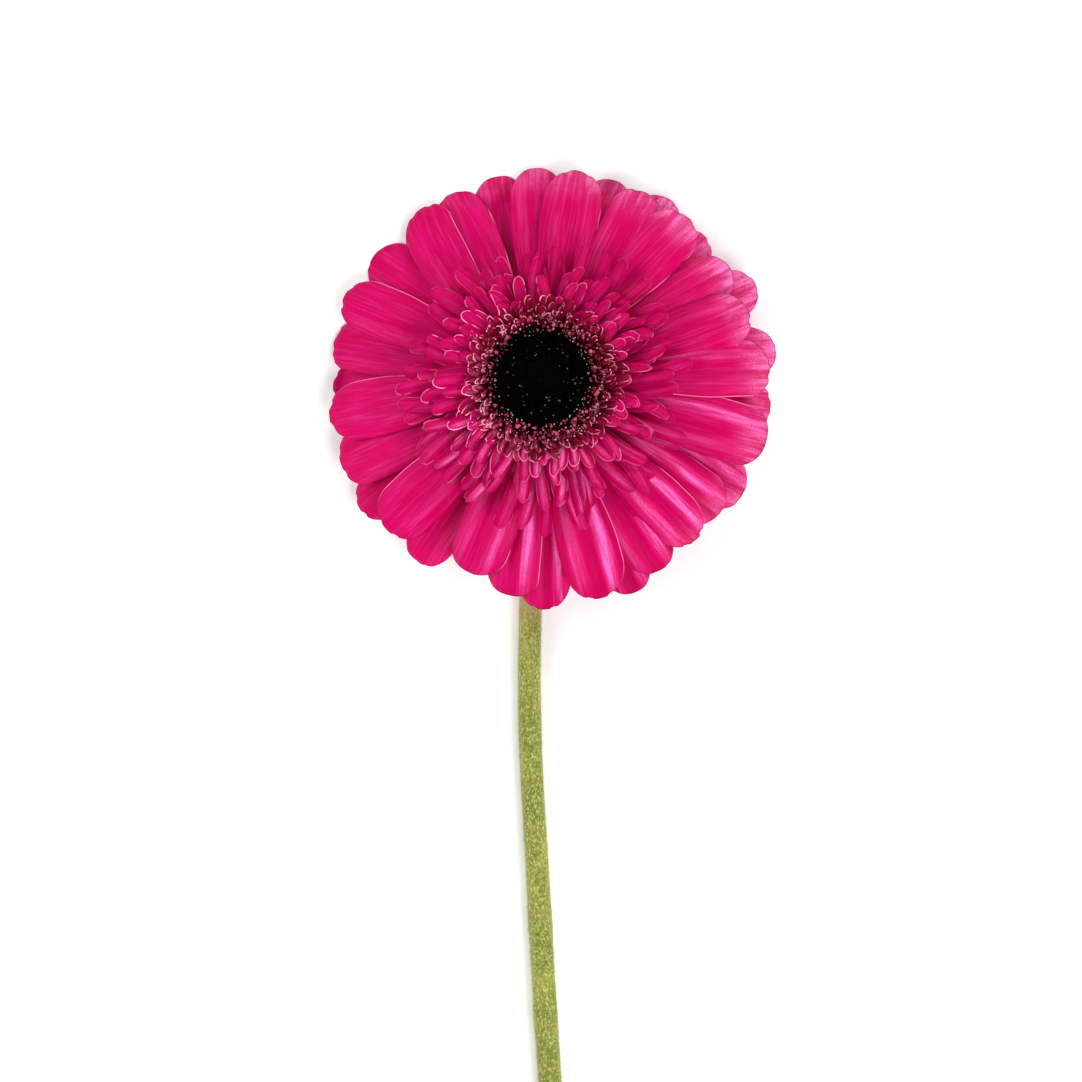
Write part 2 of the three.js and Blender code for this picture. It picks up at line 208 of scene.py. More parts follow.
def finishGroup(geo, geometry, material):
    geometry = geo.add("GeometryNodeSetShadeSmooth", {"Geometry": geometry}, "Geometry")
    geometry = geo.add("GeometryNodeSetMaterial", {"Geometry": geometry, "Material": material}, "Geometry")
    geo.add("NodeGroupOutput", {"Geometry": geometry})


def newObject(name, vertices, edges=(), faces=()):
    mesh = bpy.data.meshes.new(name)
    mesh.from_pydata(vertices, list(edges), list(faces))
    thing = bpy.data.objects.new(name, mesh)
    bpy.context.scene.collection.objects.link(thing)
    return thing


def giveValues(mesh, values):  # one float attribute on the points for each name
    for name, numbers in values.items():
        mesh.attributes.new(name, "FLOAT", "POINT").data.foreach_set("value", numbers)


def grow(thing, group, values, thickness=None):  # runs the tree on the object and keeps the plain mesh
    modifier = thing.modifiers.new("Growth", "NODES")
    modifier.node_group = group
    for item in group.interface.items_tree:
        if item.in_out == "INPUT" and item.name in values:
            modifier[item.identifier] = values[item.name]
    if thickness:
        wall = thing.modifiers.new("Thickness", "SOLIDIFY")
        wall.thickness = thickness * mm
        wall.offset = 0
    graph = bpy.context.evaluated_depsgraph_get()
    shape = thing.evaluated_get(graph)
    mesh = bpy.data.meshes.new_from_object(shape, preserve_all_data_layers=True, depsgraph=graph)
    thing.modifiers.clear()
    thing.data = mesh
    return thing


def handOver(piece, slot, *nodes):
    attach(piece, "root")
    if nodes:
        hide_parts(*nodes)
    print(piece.name, len(piece.data.polygons), "faces")


def newMaterial(name):
    material = bpy.data.materials.new(name)
    material.use_nodes = True
    material.cycles.emission_sampling = "NONE"  # what glows is too faint to light anything else
    material.node_tree.nodes.clear()
    return material, Maker(material.node_tree)


def finishMaterial(shader, values):
    surface = shader.add("ShaderNodeBsdfPrincipled", values, "BSDF")
    shader.add("ShaderNodeOutputMaterial", {"Surface": surface})


def readAttribute(shader, name, out="Fac"):
    return shader.add("ShaderNodeAttribute", {}, out, attribute_name=name)


petal = {  # for every petal: noise per mm across and along, and levels as from, to and what they give there
    "clouds": (0.3, 0.14),
    "cells": (3.6, 2.4),
    "veinsAlong": 0.09,
    "streaksAlong": 0.06,
    "streaksShift": 40,
    "tip": (0.7, 1.0),
    "cloudy": (0.3, 0.72),
    "toned": (0.5, 0.95, 1.0, 0.3),
    "veined": (0.45, 0.7),
    "highlightStreaks": (0.3, 0.6, 0.3, 1.0),
    "highlightStarts": (0.2, 0.5),
    "highlightEnds": (0.82, 1.0, 1.0, 0.4),
    "highlightCells": (0.35, 0.6, 0.72, 1.0),
    "highlightVeins": (0.34, 0.6, 0.62, 1.0),
    "highlightAcross": (-5.0, 4.0, 1.0, 0.4),
    "highlightGain": 1.6,
    "highlightPower": 1.7,
    "valley": (0.6, 0.1),
    "valleyStrength": 0.7,
    "tipSheenStarts": (0.76, 1.04),
    "tipSheenCells": (0.3, 0.66, 0.55, 1.0),
    "tipSheenVeins": (0.3, 0.6, 0.6, 1.0),
    "tipSheenPatches": (0.8, 1.15, 0.35, 1.0),
    "tipSheenGain": 1.5,
    "tipSheenPower": 1.4,
    "borderWaver": 0.3,
    "edgeHighlightCore": 0.4,
    "edgeHighlightStarts": 0.3,
    "edgeHighlightEnds": 0.1,
    "relief": {"veins": 0.65, "streaks": 0.25, "cells": 0.1},
    "bump": 0.2,
    "rough": (0.2, 0.8),
    "roughSpread": 0.06,
    "flesh": {"Subsurface Weight": 0.1, "Subsurface Radius": (1.0, 0.1, 0.3), "Subsurface Scale": 0.8 * mm},
}


def objectPlace(shader):
    return shader.add("ShaderNodeTexCoord", {}, "Object")


def petalNoise(shader, flat, acrossPerMm, alongPerMm, detail):  # flat: across and along in mm, and a seed
    across, along, seed = flat
    return shader.noise(shader.vector(across * acrossPerMm, along * alongPerMm, seed), detail=detail)


def petalMaterial(name, look):
    material, shader = newMaterial(name)
    flat = shader.xyz(readAttribute(shader, "petal", "Vector"))
    across, along, seed = flat
    rimGap = readAttribute(shader, "rim")
    share = readAttribute(shader, "share")
    ridge = readAttribute(shader, "ridge")
    lit = readAttribute(shader, "satin")
    clouds = petalNoise(shader, flat, *petal["clouds"], 3.0)
    veins = petalNoise(shader, flat, look["veinsPerMm"], petal["veinsAlong"], 3.0)
    cells = petalNoise(shader, flat, *petal["cells"], 2.0)
    breaks = petalNoise(shader, flat, look["breaks"], look["breaks"], 1.0)
    shifted = (across, along, seed + petal["streaksShift"])
    streaks = petalNoise(shader, shifted, look["streaksPerMm"], petal["streaksAlong"], 2.0)

    # darker towards the root: partly the petal's own colour, partly painted shade near the middle of the
    # bloom
    body = shader.mix(share.smooth(0.0, look["rootEnds"]), look["root"], look["body"])
    body = shader.mix(share.smooth(*petal["tip"]) * look["tipShade"], body, look["deep"])
    body = shader.mix(clouds.smooth(*petal["cloudy"]) * look["clouds"], body, look["bright"])
    # painted shade: petals that point some ways are darker, on top of a random tone
    shade = readAttribute(shader, "tone").smooth(0.0, 1.0) * share.smooth(*petal["toned"]) * look["tonesAndShade"]
    body = shader.mix(shade, body, look["deep"])
    body = shader.mix(veins.smooth(*petal["veined"]) * look["veins"], body, look["vein"])

    satin = ridge.smooth(look["highlightFrom"], 1.0)  # painted highlight streaks on the ridges, with painted shade in the valleys between
    satin = satin * streaks.smooth(*petal["highlightStreaks"]) * share.smooth(*petal["highlightStarts"])
    satin = satin * share.smooth(*petal["highlightEnds"]) * cells.smooth(*petal["highlightCells"])
    satin = satin * veins.smooth(*petal["highlightVeins"]) * across.smooth(*petal["highlightAcross"])
    satin = (satin * petal["highlightGain"]) ** petal["highlightPower"] * lit
    body = shader.mix(ridge.smooth(*petal["valley"]) * lit * petal["valleyStrength"], body, look["deep"])
    body = shader.mix(satin, body, look["highlightTint"])
    glow = shader.mix(satin * look["highlightGlow"], (0, 0, 0, 1), look["highlightTint"])

    frost = share.smooth(*petal["tipSheenStarts"]) * cells.smooth(*petal["tipSheenCells"])  # painted sheen: paler, grainy tips on petals that point one way
    frost = frost * veins.smooth(*petal["tipSheenVeins"]) * (streaks + clouds).smooth(*petal["tipSheenPatches"])
    frost = (frost * petal["tipSheenGain"]) ** petal["tipSheenPower"] * readAttribute(shader, "frost")
    body = shader.mix(frost, body, look["tipSheenTint"])
    # a dark line along the edges, partly painted shade where the petal turns down
    border = 1 - (rimGap + (clouds - 0.5) * petal["borderWaver"]).smooth(0.0, look["borderWidth"])
    body = shader.mix(border * look["borderStrength"], body, look["border"])

    lip = 1 - rimGap.smooth(look["rimWidth"] * petal["edgeHighlightCore"], look["rimWidth"])  # painted highlight: a pale edge along the lit side
    lip = lip * share.smooth(look["rimFrom"], look["rimFrom"] + petal["edgeHighlightStarts"])
    lip = lip * breaks.smooth(*look["rimGaps"])
    lip = lip * share.smooth(look["rimUntil"], look["rimUntil"] + petal["edgeHighlightEnds"], 1.0, 0.0)
    lip = lip * (across * readAttribute(shader, "lip")).smooth(*look["rimSide"])
    lip = lip * readAttribute(shader, "pale")
    body = shader.mix(lip * look["rimStrength"], body, look["rim"])

    parts = petal["relief"]
    relief = veins * parts["veins"] + streaks * parts["streaks"] + cells * parts["cells"]
    bumps = {"Strength": look["relief"], "Distance": petal["bump"] * mm, "Height": relief}
    roughest = look["roughness"] + petal["roughSpread"]
    smoothest = look["roughness"] - petal["roughSpread"]
    finishMaterial(shader, {
        "Base Color": body,
        "Roughness": clouds.smooth(*petal["rough"], roughest, smoothest),
        "Normal": shader.add("ShaderNodeBump", bumps),
        "Specular IOR Level": look["gloss"],
        "Specular Tint": look["glossTint"],
        # painted highlight: the pale edges and the highlight streaks also glow a little
        "Emission Color": shader.mix(lip, glow, look["rim"]),
        "Emission Strength": look["rimGlow"],
        **petal["flesh"],
    })
    return material


bladeForm = {  # of every blade, with its places across from -1 to 1 and along from 0 to 1
    "notchesAt": (0.36, -0.36),
    "notchWidth": 0.1,
    "teeth": 3.4,
    "waves": (1.1, 2.6),
    "tipEdge": 0.995,
    "foldFades": (0.8, 1, 1, 0.45),
    "tipLiftPower": 4,
    "seedSteps": {"teeth": 71, "waves": 31, "petal": 57},
}


def bladeGroup():  # petals and scales: each point of the mesh becomes one blade, shaped by its own values
    group, geo, given = newGroup("Blades", {
        "Across": "Int",
        "Along": "Int",
        "Root Share": "Float",
        "Widest At": "Float",
        "Tip Power": "Float",
        "Arch": "Float",
        "Ruffle": "Float",
        "Ridges": "Float",
        "Lowest": "Float",
        "Material": "Material",
    })
    counts = {"Size X": 2.0, "Size Y": 1.0, "Vertices X": given["Across"], "Vertices Y": given["Along"]}
    grid = geo.add("GeometryNodeMeshGrid", counts, "Mesh")
    blades = copyOnto(geo, {"Points": given["Geometry"], "Instance": grid})

    form = bladeForm
    steps = form["seedSteps"]
    x, y, z = pointPlace(geo)
    own = {name: named(geo, name) for name in bladeValues}
    v = (x * (math.pi / 2)).sin()
    power = given["Tip Power"]
    roundTip = 1 - own["tipDepth"] * (1 - (1 - (abs(v) * form["tipEdge"]) ** power) ** (1 / power))
    notches = sum((-(((v - side) / form["notchWidth"]) ** 2)).exp() for side in form["notchesAt"])
    teeth = geo.noise(geo.vector(v * form["teeth"], own["seed"] * steps["teeth"], 0.0), detail=1.0) - 0.5
    reach = roundTip - own["notch"] * notches + own["ragged"] * teeth
    share = (y + 0.5) * reach
    spread = given["Root Share"] + (1 - given["Root Share"]) * share.smooth(0, given["Widest At"])
    edgeGap = ((1 - abs(v)) * own["halfWidth"] * spread).atMost((reach - share) * own["length"])
    wavesAcross, wavesAlong = form["waves"]
    wavy = geo.vector(v * wavesAcross, share * wavesAlong, own["seed"] * steps["waves"])
    waves = geo.noise(wavy, detail=1.0) - 0.5
    ridges = (v * given["Ridges"] * math.pi + own["phase"]).cos()
    section = own["fold"] * ridges * share.smooth(*form["foldFades"])
    section = section - (given["Arch"] + own["arch"]) * v * v
    lift = section * spread * spread + waves * given["Ruffle"] * share
    lift = lift + own["tipLift"] * share ** form["tipLiftPower"]
    across = v * own["halfWidth"] * spread
    roll = own["roll"] + own["twist"] * share
    rolledAcross = across * roll.cos() - lift * roll.sin()
    rolledLift = across * roll.sin() + lift * roll.cos()
    angle = own["rise"] - own["bend"] * share
    stretch = own["length"] / own["bend"]
    radius = own["rootRadius"] + stretch * (own["rise"].sin() - angle.sin()) - angle.sin() * rolledLift
    height = own["rootHeight"] + stretch * (angle.cos() - own["rise"].cos()) + angle.cos() * rolledLift
    azimuth = own["azimuth"] + own["swing"] * share * share
    position = geo.vector(
        azimuth.cos() * radius + azimuth.sin() * rolledAcross,
        azimuth.sin() * radius - azimuth.cos() * rolledAcross,
        height,
    )
    flat = geo.vector(v * own["halfWidth"], share * own["length"], own["seed"] * steps["petal"])
    blades = store(geo, blades, "petal", flat, "FLOAT_VECTOR")
    blades = store(geo, blades, "rim", edgeGap)
    blades = store(geo, blades, "share", share)
    blades = store(geo, blades, "ridge", ridges * 0.5 + 0.5)
    blades = place(geo, blades, position)
    blades = keepAbove(geo, ontoHead(geo, blades), given["Lowest"] * mm)
    finishGroup(geo, blades, given["Material"])
    return group


bladeValues = (
    "azimuth", "length", "rise", "bend", "halfWidth", "rootRadius", "rootHeight", "roll", "twist",
    "swing", "tipDepth", "notch", "ragged", "arch", "fold", "phase", "tipLift", "seed", "tone", "satin",
    "frost", "lip", "pale",
)


def bladePoints(name, blades):  # one point for each blade, with its values as attributes
    thing = newObject(name, [(0, 0, 0)] * len(blades))
    giveValues(thing.data, {key: [blade.get(key, 0.0) for blade in blades] for key in bladeValues})
    return thing


def middleLine(blade, share):  # the same bent middle line that the tree gives a blade
    angle = blade["rise"] - blade["bend"] * share
    stretch = blade["length"] / blade["bend"]
    radius = blade["rootRadius"] + stretch * (math.sin(blade["rise"]) - math.sin(angle))
    height = blade["rootHeight"] + stretch * (math.cos(angle) - math.cos(blade["rise"]))
    azimuth = blade["azimuth"] + blade["swing"] * share * share
    return Vector((radius * math.cos(azimuth), radius * math.sin(azimuth), height))


def lathe(name, outline, material, segments=64):  # a closed body turned about the head's axis
    vertices = []
    faces = []
    for radius, height in outline:
        for step in range(segments):
            turn = 2 * math.pi * step / segments
            point = Vector((radius * math.cos(turn), radius * math.sin(turn), height))
            vertices.append((headCentre + headTurn @ point) * mm)
    for ring in range(len(outline) - 1):
        for step in range(segments):
            ahead = (step + 1) % segments
            low = ring * segments
            high = low + segments
            faces.append((low + step, low + ahead, high + ahead, high + step))
    faces.append(tuple(reversed(range(segments))))
    faces.append(tuple(range(len(vertices) - segments, len(vertices))))
    thing = newObject(name, vertices, faces=faces)
    thing.data.materials.append(material)
    return thing


# Rays: the same list as in the solid model. Degrees round a middle set off from the head's centre,
# reach and full width in mm, tier, and sideways swing in degrees.
rays = {
    "middle": (1.1, 0.1),
    "rootRadius": 10.8,
    "tiers": [(-1.1, -4, 21), (-2.5, -6, 22), (-3.9, -9, 23), (-3.9, -14, 34)],
    "thickness": 0.3,
    "seed": 3,
    # ways, in degrees, where rays get a painted highlight, painted sheen at the tips and painted shade
    "highlightSide": 300,
    "tipSheenSide": 32,
    "leastHighlight": 0.05,
    "darkSide": 25,
    "darkShade": 0.8,
    "dimSide": 185,
    "dimShade": 0.4,
    "toneSpread": 0.5,
    "edgeHighlightTurnsAt": 225,
    "deeperFold": 0.42,
    "notches": (0.0, 0.0, 0.006, 0.012),
    "edgeHighlights": (0.4, 1.0, 1.0),
    "draws": {  # between what and what the values of one ray are drawn
        "tipDepth": (0.12, 0.21),
        "fold": (0.1, 0.24),
        "phase": (-1.3, 1.3),
        "ragged": (0.0, 0.03),
        "arch": (-0.35, 0.35),
        "tipLift": (-0.7, 0.7),
        "twist": (-8, 8),
        "satin": (0.7, 1.0),
        "frost": (0.8, 1.3),
    },
    "form": {
        "Across": 31,
        "Along": 38,
        "Root Share": 0.42,
        "Widest At": 0.72,
        "Tip Power": 2.15,
        "Arch": 1.15,
        "Ruffle": 1.1,
        "Ridges": 2.0,
        "Lowest": 0.2,
    },
    "list": [
        (4.5, 53.9, 14.2, 0, 0), (9, 55.8, 13, 2, 0), (20, 51.6, 14.2, 0, 2), (26, 56, 13, 2, 0),
        (33, 52.4, 13.4, 1, 0), (44, 52.7, 13, 2, 1), (50, 52.9, 14.4, 0, -2), (57, 53.9, 12.4, 2, 0),
        (63, 52.4, 13.6, 0, 2), (72.5, 52.9, 13, 2, 0), (82, 52.9, 14.4, 0, 0), (93, 52.9, 13.2, 1, 0),
        (104.5, 53, 14, 2, -1), (117, 53, 13.2, 1, 0), (126, 53.4, 13.2, 0, -6),
        (143.5, 52.8, 13.8, 1, 2), (156.5, 53.9, 13.2, 0, 0), (168, 53.6, 13.8, 1, 0),
        (180, 52.8, 13, 2, 0), (188, 54.1, 14.4, 0, 0), (201, 54, 14.8, 1, 0), (213, 54.8, 13, 2, 0),
        (222, 52.9, 14.6, 0, 0), (233, 53.9, 13, 2, 0), (247, 49.8, 14.4, 0, -2), (260, 52, 13, 1, 2),
        (269, 54.6, 13, 2, 0), (284, 53.4, 14.8, 0, 0), (293, 54.6, 12.8, 2, 0),
        (301, 52.6, 13.4, 1, 0), (313, 52, 13.4, 0, 1), (323, 52.2, 13.2, 1, 0),
        (331, 54.4, 13.4, 2, 0), (345, 54.2, 14.6, 0, 0), (354, 54.4, 13, 2, 0), (65, 48.5, 12.6, 3, 0),
        (137, 47.5, 12.6, 3, 0), (195, 48.5, 12.6, 3, 0), (250, 46, 12.6, 2, 0), (314, 47, 12.6, 2, 0),
    ],
    "look": {
        "root": colour(156, 0, 58),
        "body": colour(218, 2, 96),
        "bright": colour(234, 12, 118),
        "vein": colour(250, 64, 158),
        "deep": colour(196, 0, 80),
        "highlightTint": colour(255, 112, 198),
        "highlightGlow": 1.0,
        "highlightFrom": 0.4,
        "tipSheenTint": colour(255, 132, 198),
        "border": colour(150, 0, 74),
        "rim": colour(252, 120, 180),
        "rootEnds": 0.8,
        "clouds": 0.6,
        "veins": 0.24,
        "veinsPerMm": 1.8,
        "streaksPerMm": 0.7,
        "tonesAndShade": 0.65,
        "tipShade": 0.5,
        "borderWidth": 0.5,
        "borderStrength": 0.65,
        "breaks": 0.1,
        "rimGaps": (0.36, 0.5),
        "rimWidth": 0.3,
        "rimFrom": 0.1,
        "rimUntil": 0.86,
        "rimSide": (0.5, 3.0),
        "rimStrength": 0.85,
        "rimGlow": 0.15,
        "relief": 0.5,
        "roughness": 0.38,
        "gloss": 0.08,
        "glossTint": (1.0, 0.3, 0.75, 1.0),
    },
}


def facesWay(azimuth, degrees):  # 1 for a petal that points that way, and 0 at right angles to it or beyond
    return max(0.0, math.cos(azimuth - math.radians(degrees)))


def solveRay(ray, aim, rounds=8):  # turns and stretches a ray until its tip shows where it should
    for _ in range(rounds):
        tip = headTurn @ middleLine(ray, 1)
        shown = Vector((tip.x, tip.y))
        ray["azimuth"] -= shown.angle_signed(aim)
        ray["length"] += aim.length - shown.length
    return ray


def makeRays(group):
    chance = random.Random(rays["seed"])
    draws = rays["draws"]
    blades = []
    for degrees, reach, width, tier, swing in rays["list"]:
        azimuth = math.radians(degrees)
        aim = Vector((math.cos(azimuth), math.sin(azimuth))) * reach + Vector(rays["middle"])
        rootHeight, rise, bend = rays["tiers"][tier]
        ray = solveRay({
            "azimuth": azimuth,
            "length": reach - rays["rootRadius"],
            "rise": math.radians(rise),
            "bend": math.radians(bend),
            "rootRadius": rays["rootRadius"],
            "rootHeight": rootHeight,
            "swing": math.radians(swing),
        }, aim)
        # painted shade on rays that point two ways, a painted highlight on those that point a third way,
        # painted sheen at the tips of those that point a fourth, and the pale edge on their lit side
        dark = rays["darkShade"] * facesWay(azimuth, rays["darkSide"])
        dim = rays["dimShade"] * facesWay(azimuth, rays["dimSide"])
        satin = facesWay(azimuth, rays["highlightSide"])
        ray.update({
            "halfWidth": width / 2,
            "tipDepth": chance.uniform(*draws["tipDepth"]),
            "fold": chance.uniform(*draws["fold"]) + rays["deeperFold"] * satin,
            "phase": math.pi + chance.uniform(*draws["phase"]),
            "notch": chance.choice(rays["notches"]),
            "ragged": chance.uniform(*draws["ragged"]),
            "arch": chance.uniform(*draws["arch"]),
            "tipLift": chance.uniform(*draws["tipLift"]),
            "twist": math.radians(chance.uniform(*draws["twist"])),
            "seed": chance.random(),
            "tone": rays["toneSpread"] * chance.random() + dark + dim,
            "satin": rays["leastHighlight"] + satin ** 2 * chance.uniform(*draws["satin"]),
            "frost": facesWay(azimuth, rays["tipSheenSide"]) * chance.uniform(*draws["frost"]),
            "lip": chance.choice(rays["edgeHighlights"]) * (-1 if degrees > rays["edgeHighlightTurnsAt"] else 1),
            "pale": 1.0,
        })
        blades.append(ray)
    values = {**rays["form"], "Material": petalMaterial("Ray petal", rays["look"])}
    return grow(bladePoints("rays", blades), group, values, rays["thickness"])


floretLook = {  # what the looks of the inner and the rim florets share
    "tipSheenTint": colour(246, 130, 188),
    "tipShade": 0.0,
    "veinsPerMm": 2.6,
    "borderWidth": 0.3,
    "rimWidth": 0.26,
    "rimUntil": 2.0,
    "gloss": 0.04,
}


inner = {  # rows: count, root height, rise, bend, shortest, longest, full width, root radius
    "rows": [
        (46, 0.7, -1, 9, 21.4, 26.6, 3.9, 10.6),
        (46, 1.5, 3, 7, 16.6, 21.0, 3.6, 10.6),
        (42, 2.2, 7, 7, 12.4, 16.4, 3.3, 10.6),
        (38, 2.8, 12, 8, 8.8, 12.2, 3.0, 10.6),
    ],
    "thickness": 0.12,
    "seed": 5,
    "looseness": 14,
    "litSide": 262,
    "darkSide": 50,
    "paleRows": (0.2, 0.5, 1.0, 1.3),
    "draws": {"arch": (-0.9, -0.1), "fold": (0.05, 0.16), "tipLift": (-0.4, 1.0)},
    "form": {
        "Across": 9,
        "Along": 18,
        "Root Share": 0.38,
        "Widest At": 0.7,
        "Tip Power": 2.0,
        "Ruffle": 0.7,
        "Ridges": 1.0,
        "Lowest": 1.0,
    },
    "look": {
        **floretLook,
        "root": colour(160, 0, 56),
        "body": colour(198, 0, 86),
        "bright": colour(214, 6, 104),
        "vein": colour(226, 40, 130),
        "deep": colour(168, 0, 64),
        "highlightTint": colour(255, 118, 192),
        "highlightGlow": 0.25,
        "highlightFrom": 0.2,
        "border": colour(150, 0, 56),
        "rim": colour(255, 140, 196),
        "rootEnds": 0.75,
        "clouds": 0.7,
        "veins": 0.4,
        "streaksPerMm": 0.8,
        "tonesAndShade": 0.8,
        "borderStrength": 0.2,
        "breaks": 0.3,
        "rimGaps": (0.46, 0.54),
        "rimFrom": 0.62,
        "rimSide": (-1.3, 0.2),
        "rimStrength": 0.95,
        "rimGlow": 0.5,
        "relief": 0.5,
        "roughness": 0.45,
        "glossTint": (1.0, 0.3, 0.75, 1.0),
    },
}


rim = {  # the small hooked florets round the disc, with rows as above
    "rows": [
        (44, 3.8, 20, 36, 4.6, 7.2, 2.5, 14.1),
        (48, 4.0, 36, 54, 3.8, 5.6, 2.1, 13.8),
        (50, 4.2, 54, 74, 2.9, 4.1, 1.6, 13.4),
        (44, 4.3, 74, 90, 2.2, 3.3, 1.25, 12.9),
    ],
    "thickness": 0.12,
    "seed": 8,
    "looseness": 45,
    "litSide": 215,
    "darkSide": 335,
    "paleRows": (1.4, 1.4, 1.4, 1.4),
    "draws": {"arch": (-1.2, -0.3), "tipLift": (-0.3, 0.6)},
    "form": {
        "Across": 7,
        "Along": 12,
        "Root Share": 0.5,
        "Widest At": 0.7,
        "Tip Power": 1.9,
        "Ruffle": 0.7,
        "Ridges": 1.0,
        "Lowest": 1.0,
    },
    "look": {
        **floretLook,
        "root": colour(10, 0, 3),
        "body": colour(134, 0, 38),
        "bright": colour(170, 4, 60),
        "vein": colour(200, 40, 90),
        "deep": colour(90, 0, 20),
        "highlightTint": colour(255, 96, 150),
        "highlightGlow": 0.1,
        "highlightFrom": -0.3,
        "border": colour(90, 0, 24),
        "rim": colour(255, 160, 192),
        "rootEnds": 1.0,
        "clouds": 0.6,
        "veins": 0.2,
        "streaksPerMm": 1.4,
        "tonesAndShade": 0.6,
        "borderStrength": 0.3,
        "breaks": 0.6,
        "rimGaps": (0.42, 0.5),
        "rimFrom": 0.6,
        "rimSide": (-1.0, 0.2),
        "rimStrength": 1.0,
        "rimGlow": 0.6,
        "relief": 0.4,
        "roughness": 0.6,
        "glossTint": (1.0, 0.4, 0.7, 1.0),
    },
}


rowRule = {  # how florets in rows differ: shares, degrees, and the ring's shift in mm and which way it goes
    "ringShift": 0.6,
    "ringShiftWay": -45,
    "turn": (-0.35, 0.35),
    "wide": (0.72, 1.15),
    "tilt": (-2, 2),
    "tip": (1.2, 2.1),
    "deepestTip": 0.4,
    "roll": (4, 16),
    "twist": (-1, 1),
    "swing": (-7, 7),
    "phase": (-0.9, 0.9),
    "notches": (0.0, 0.0, 0.0, 0.02),
    "ragged": (0.0, 0.04),
    "satin": (0.4, 1.0),
    "highlightGain": 1.2,
    "highlightPower": 1.5,
    "leastHighlight": 0.08,
    "toneSpread": 0.6,
    "darkShade": 0.8,
    "edgeHighlights": (-1.0, 0.0, 0.0, 1.0),
    "pale": (0.3, 1.0),
    "paleSide": 170,
    "paleSideGain": 0.8,
    "leastPale": 0.6,
}


def rowBlades(florets):
    chance = random.Random(florets["seed"])
    rule = rowRule
    shiftWay = math.radians(rule["ringShiftWay"])
    blades = []
    for order, row in enumerate(florets["rows"]):
        count, rootHeight, rise, bend, shortest, longest, width, rootRadius = row
        for index in range(count):
            turn = index + order / 2 + chance.uniform(*rule["turn"])
            azimuth = 2 * math.pi * turn / count
            length = chance.uniform(shortest, longest)
            halfWidth = width / 2 * chance.uniform(*rule["wide"])
            # painted highlight on florets that point to the lit side, painted shade on those that point to
            # the dark side, and stronger pale edges (painted highlight) on those that point to the pale
            # side
            satin = rule["highlightGain"] * facesWay(azimuth, florets["litSide"]) ** rule["highlightPower"]
            dark = rule["darkShade"] * facesWay(azimuth, florets["darkSide"])
            pale = rule["leastPale"] + rule["paleSideGain"] * facesWay(azimuth, rule["paleSide"])
            blades.append({
                "azimuth": azimuth,
                "length": length,
                "rise": math.radians(rise + chance.uniform(*rule["tilt"])),
                "bend": math.radians(bend + chance.uniform(*rule["tilt"])),
                "halfWidth": halfWidth,
                "tipDepth": min(chance.uniform(*rule["tip"]) * halfWidth / length, rule["deepestTip"]),
                "rootHeight": rootHeight,
                "rootRadius": rootRadius + rule["ringShift"] * math.cos(azimuth - shiftWay),
                "roll": math.radians(chance.uniform(*rule["roll"])),
                "twist": math.radians(chance.uniform(*rule["twist"]) * florets["looseness"]),
                "swing": math.radians(chance.uniform(*rule["swing"])),
                "phase": chance.uniform(*rule["phase"]),
                "notch": chance.choice(rule["notches"]),
                "ragged": chance.uniform(*rule["ragged"]),
                "seed": chance.random(),
                "tone": rule["toneSpread"] * chance.random() + dark,
                "satin": rule["leastHighlight"] + satin * chance.uniform(*rule["satin"]),
                "lip": chance.choice(rule["edgeHighlights"]),
                "pale": florets["paleRows"][order] * chance.uniform(*rule["pale"]) * pale,
                **{name: chance.uniform(*span) for name, span in florets["draws"].items()},
            })
    return blades


def makeRows(name, finish, florets, group):
    values = {**florets["form"], "Material": petalMaterial(finish, florets["look"])}
    return grow(bladePoints(name, rowBlades(florets)), group, values, florets["thickness"])


disc = {  # the dark middle: a low dome, a little sunk in the middle, with buds in a spiral
    "radius": 12.5,
    "bottom": 4.7,
    "shoulder": 6.2,
    "crown": 7.5,
    "middle": 6.8,
    "dipShare": 0.55,
    "rings": 12,
    "seed": 13,
    "margin": 0.3,
    "buds": 520,
    "budRadius": 0.36,
    "budStretch": 1.9,
    "budSunk": 0.05,
    "budSizes": (0.72, 0.42),
    "budSpread": (0.88, 1.12),
    "budLean": 0.55,
    "leanSpread": (-0.12, 0.12),
    "colours": (colour(2, 1, 1), colour(12, 3, 6)),
}


def smoothStep(value, low, high):
    share = min(max((value - low) / (high - low), 0), 1)
    return share * share * (3 - 2 * share)


def domeHeight(radius):
    share = min(radius / disc["radius"], 1)
    dip = smoothStep(share, 0, disc["dipShare"])
    shoulder = disc["crown"] + (disc["shoulder"] - disc["crown"]) * share ** 4
    return shoulder - (disc["crown"] - disc["middle"]) * (1 - dip)


def discMaterial():
    material, shader = newMaterial("Dark buds")
    where = objectPlace(shader)
    spots = shader.noise(where, scale=900.0, detail=2.0)
    body = shader.mix(spots.smooth(0.5, 0.7), *disc["colours"])
    bump = shader.add("ShaderNodeBump", {"Strength": 0.4, "Distance": 0.1 * mm, "Height": spots})
    finishMaterial(shader, {
        "Base Color": body,
        "Roughness": spots.smooth(0.3, 0.7, 0.8, 0.6),
        "Normal": bump,
        "Specular IOR Level": 0.02,
    })
    return material


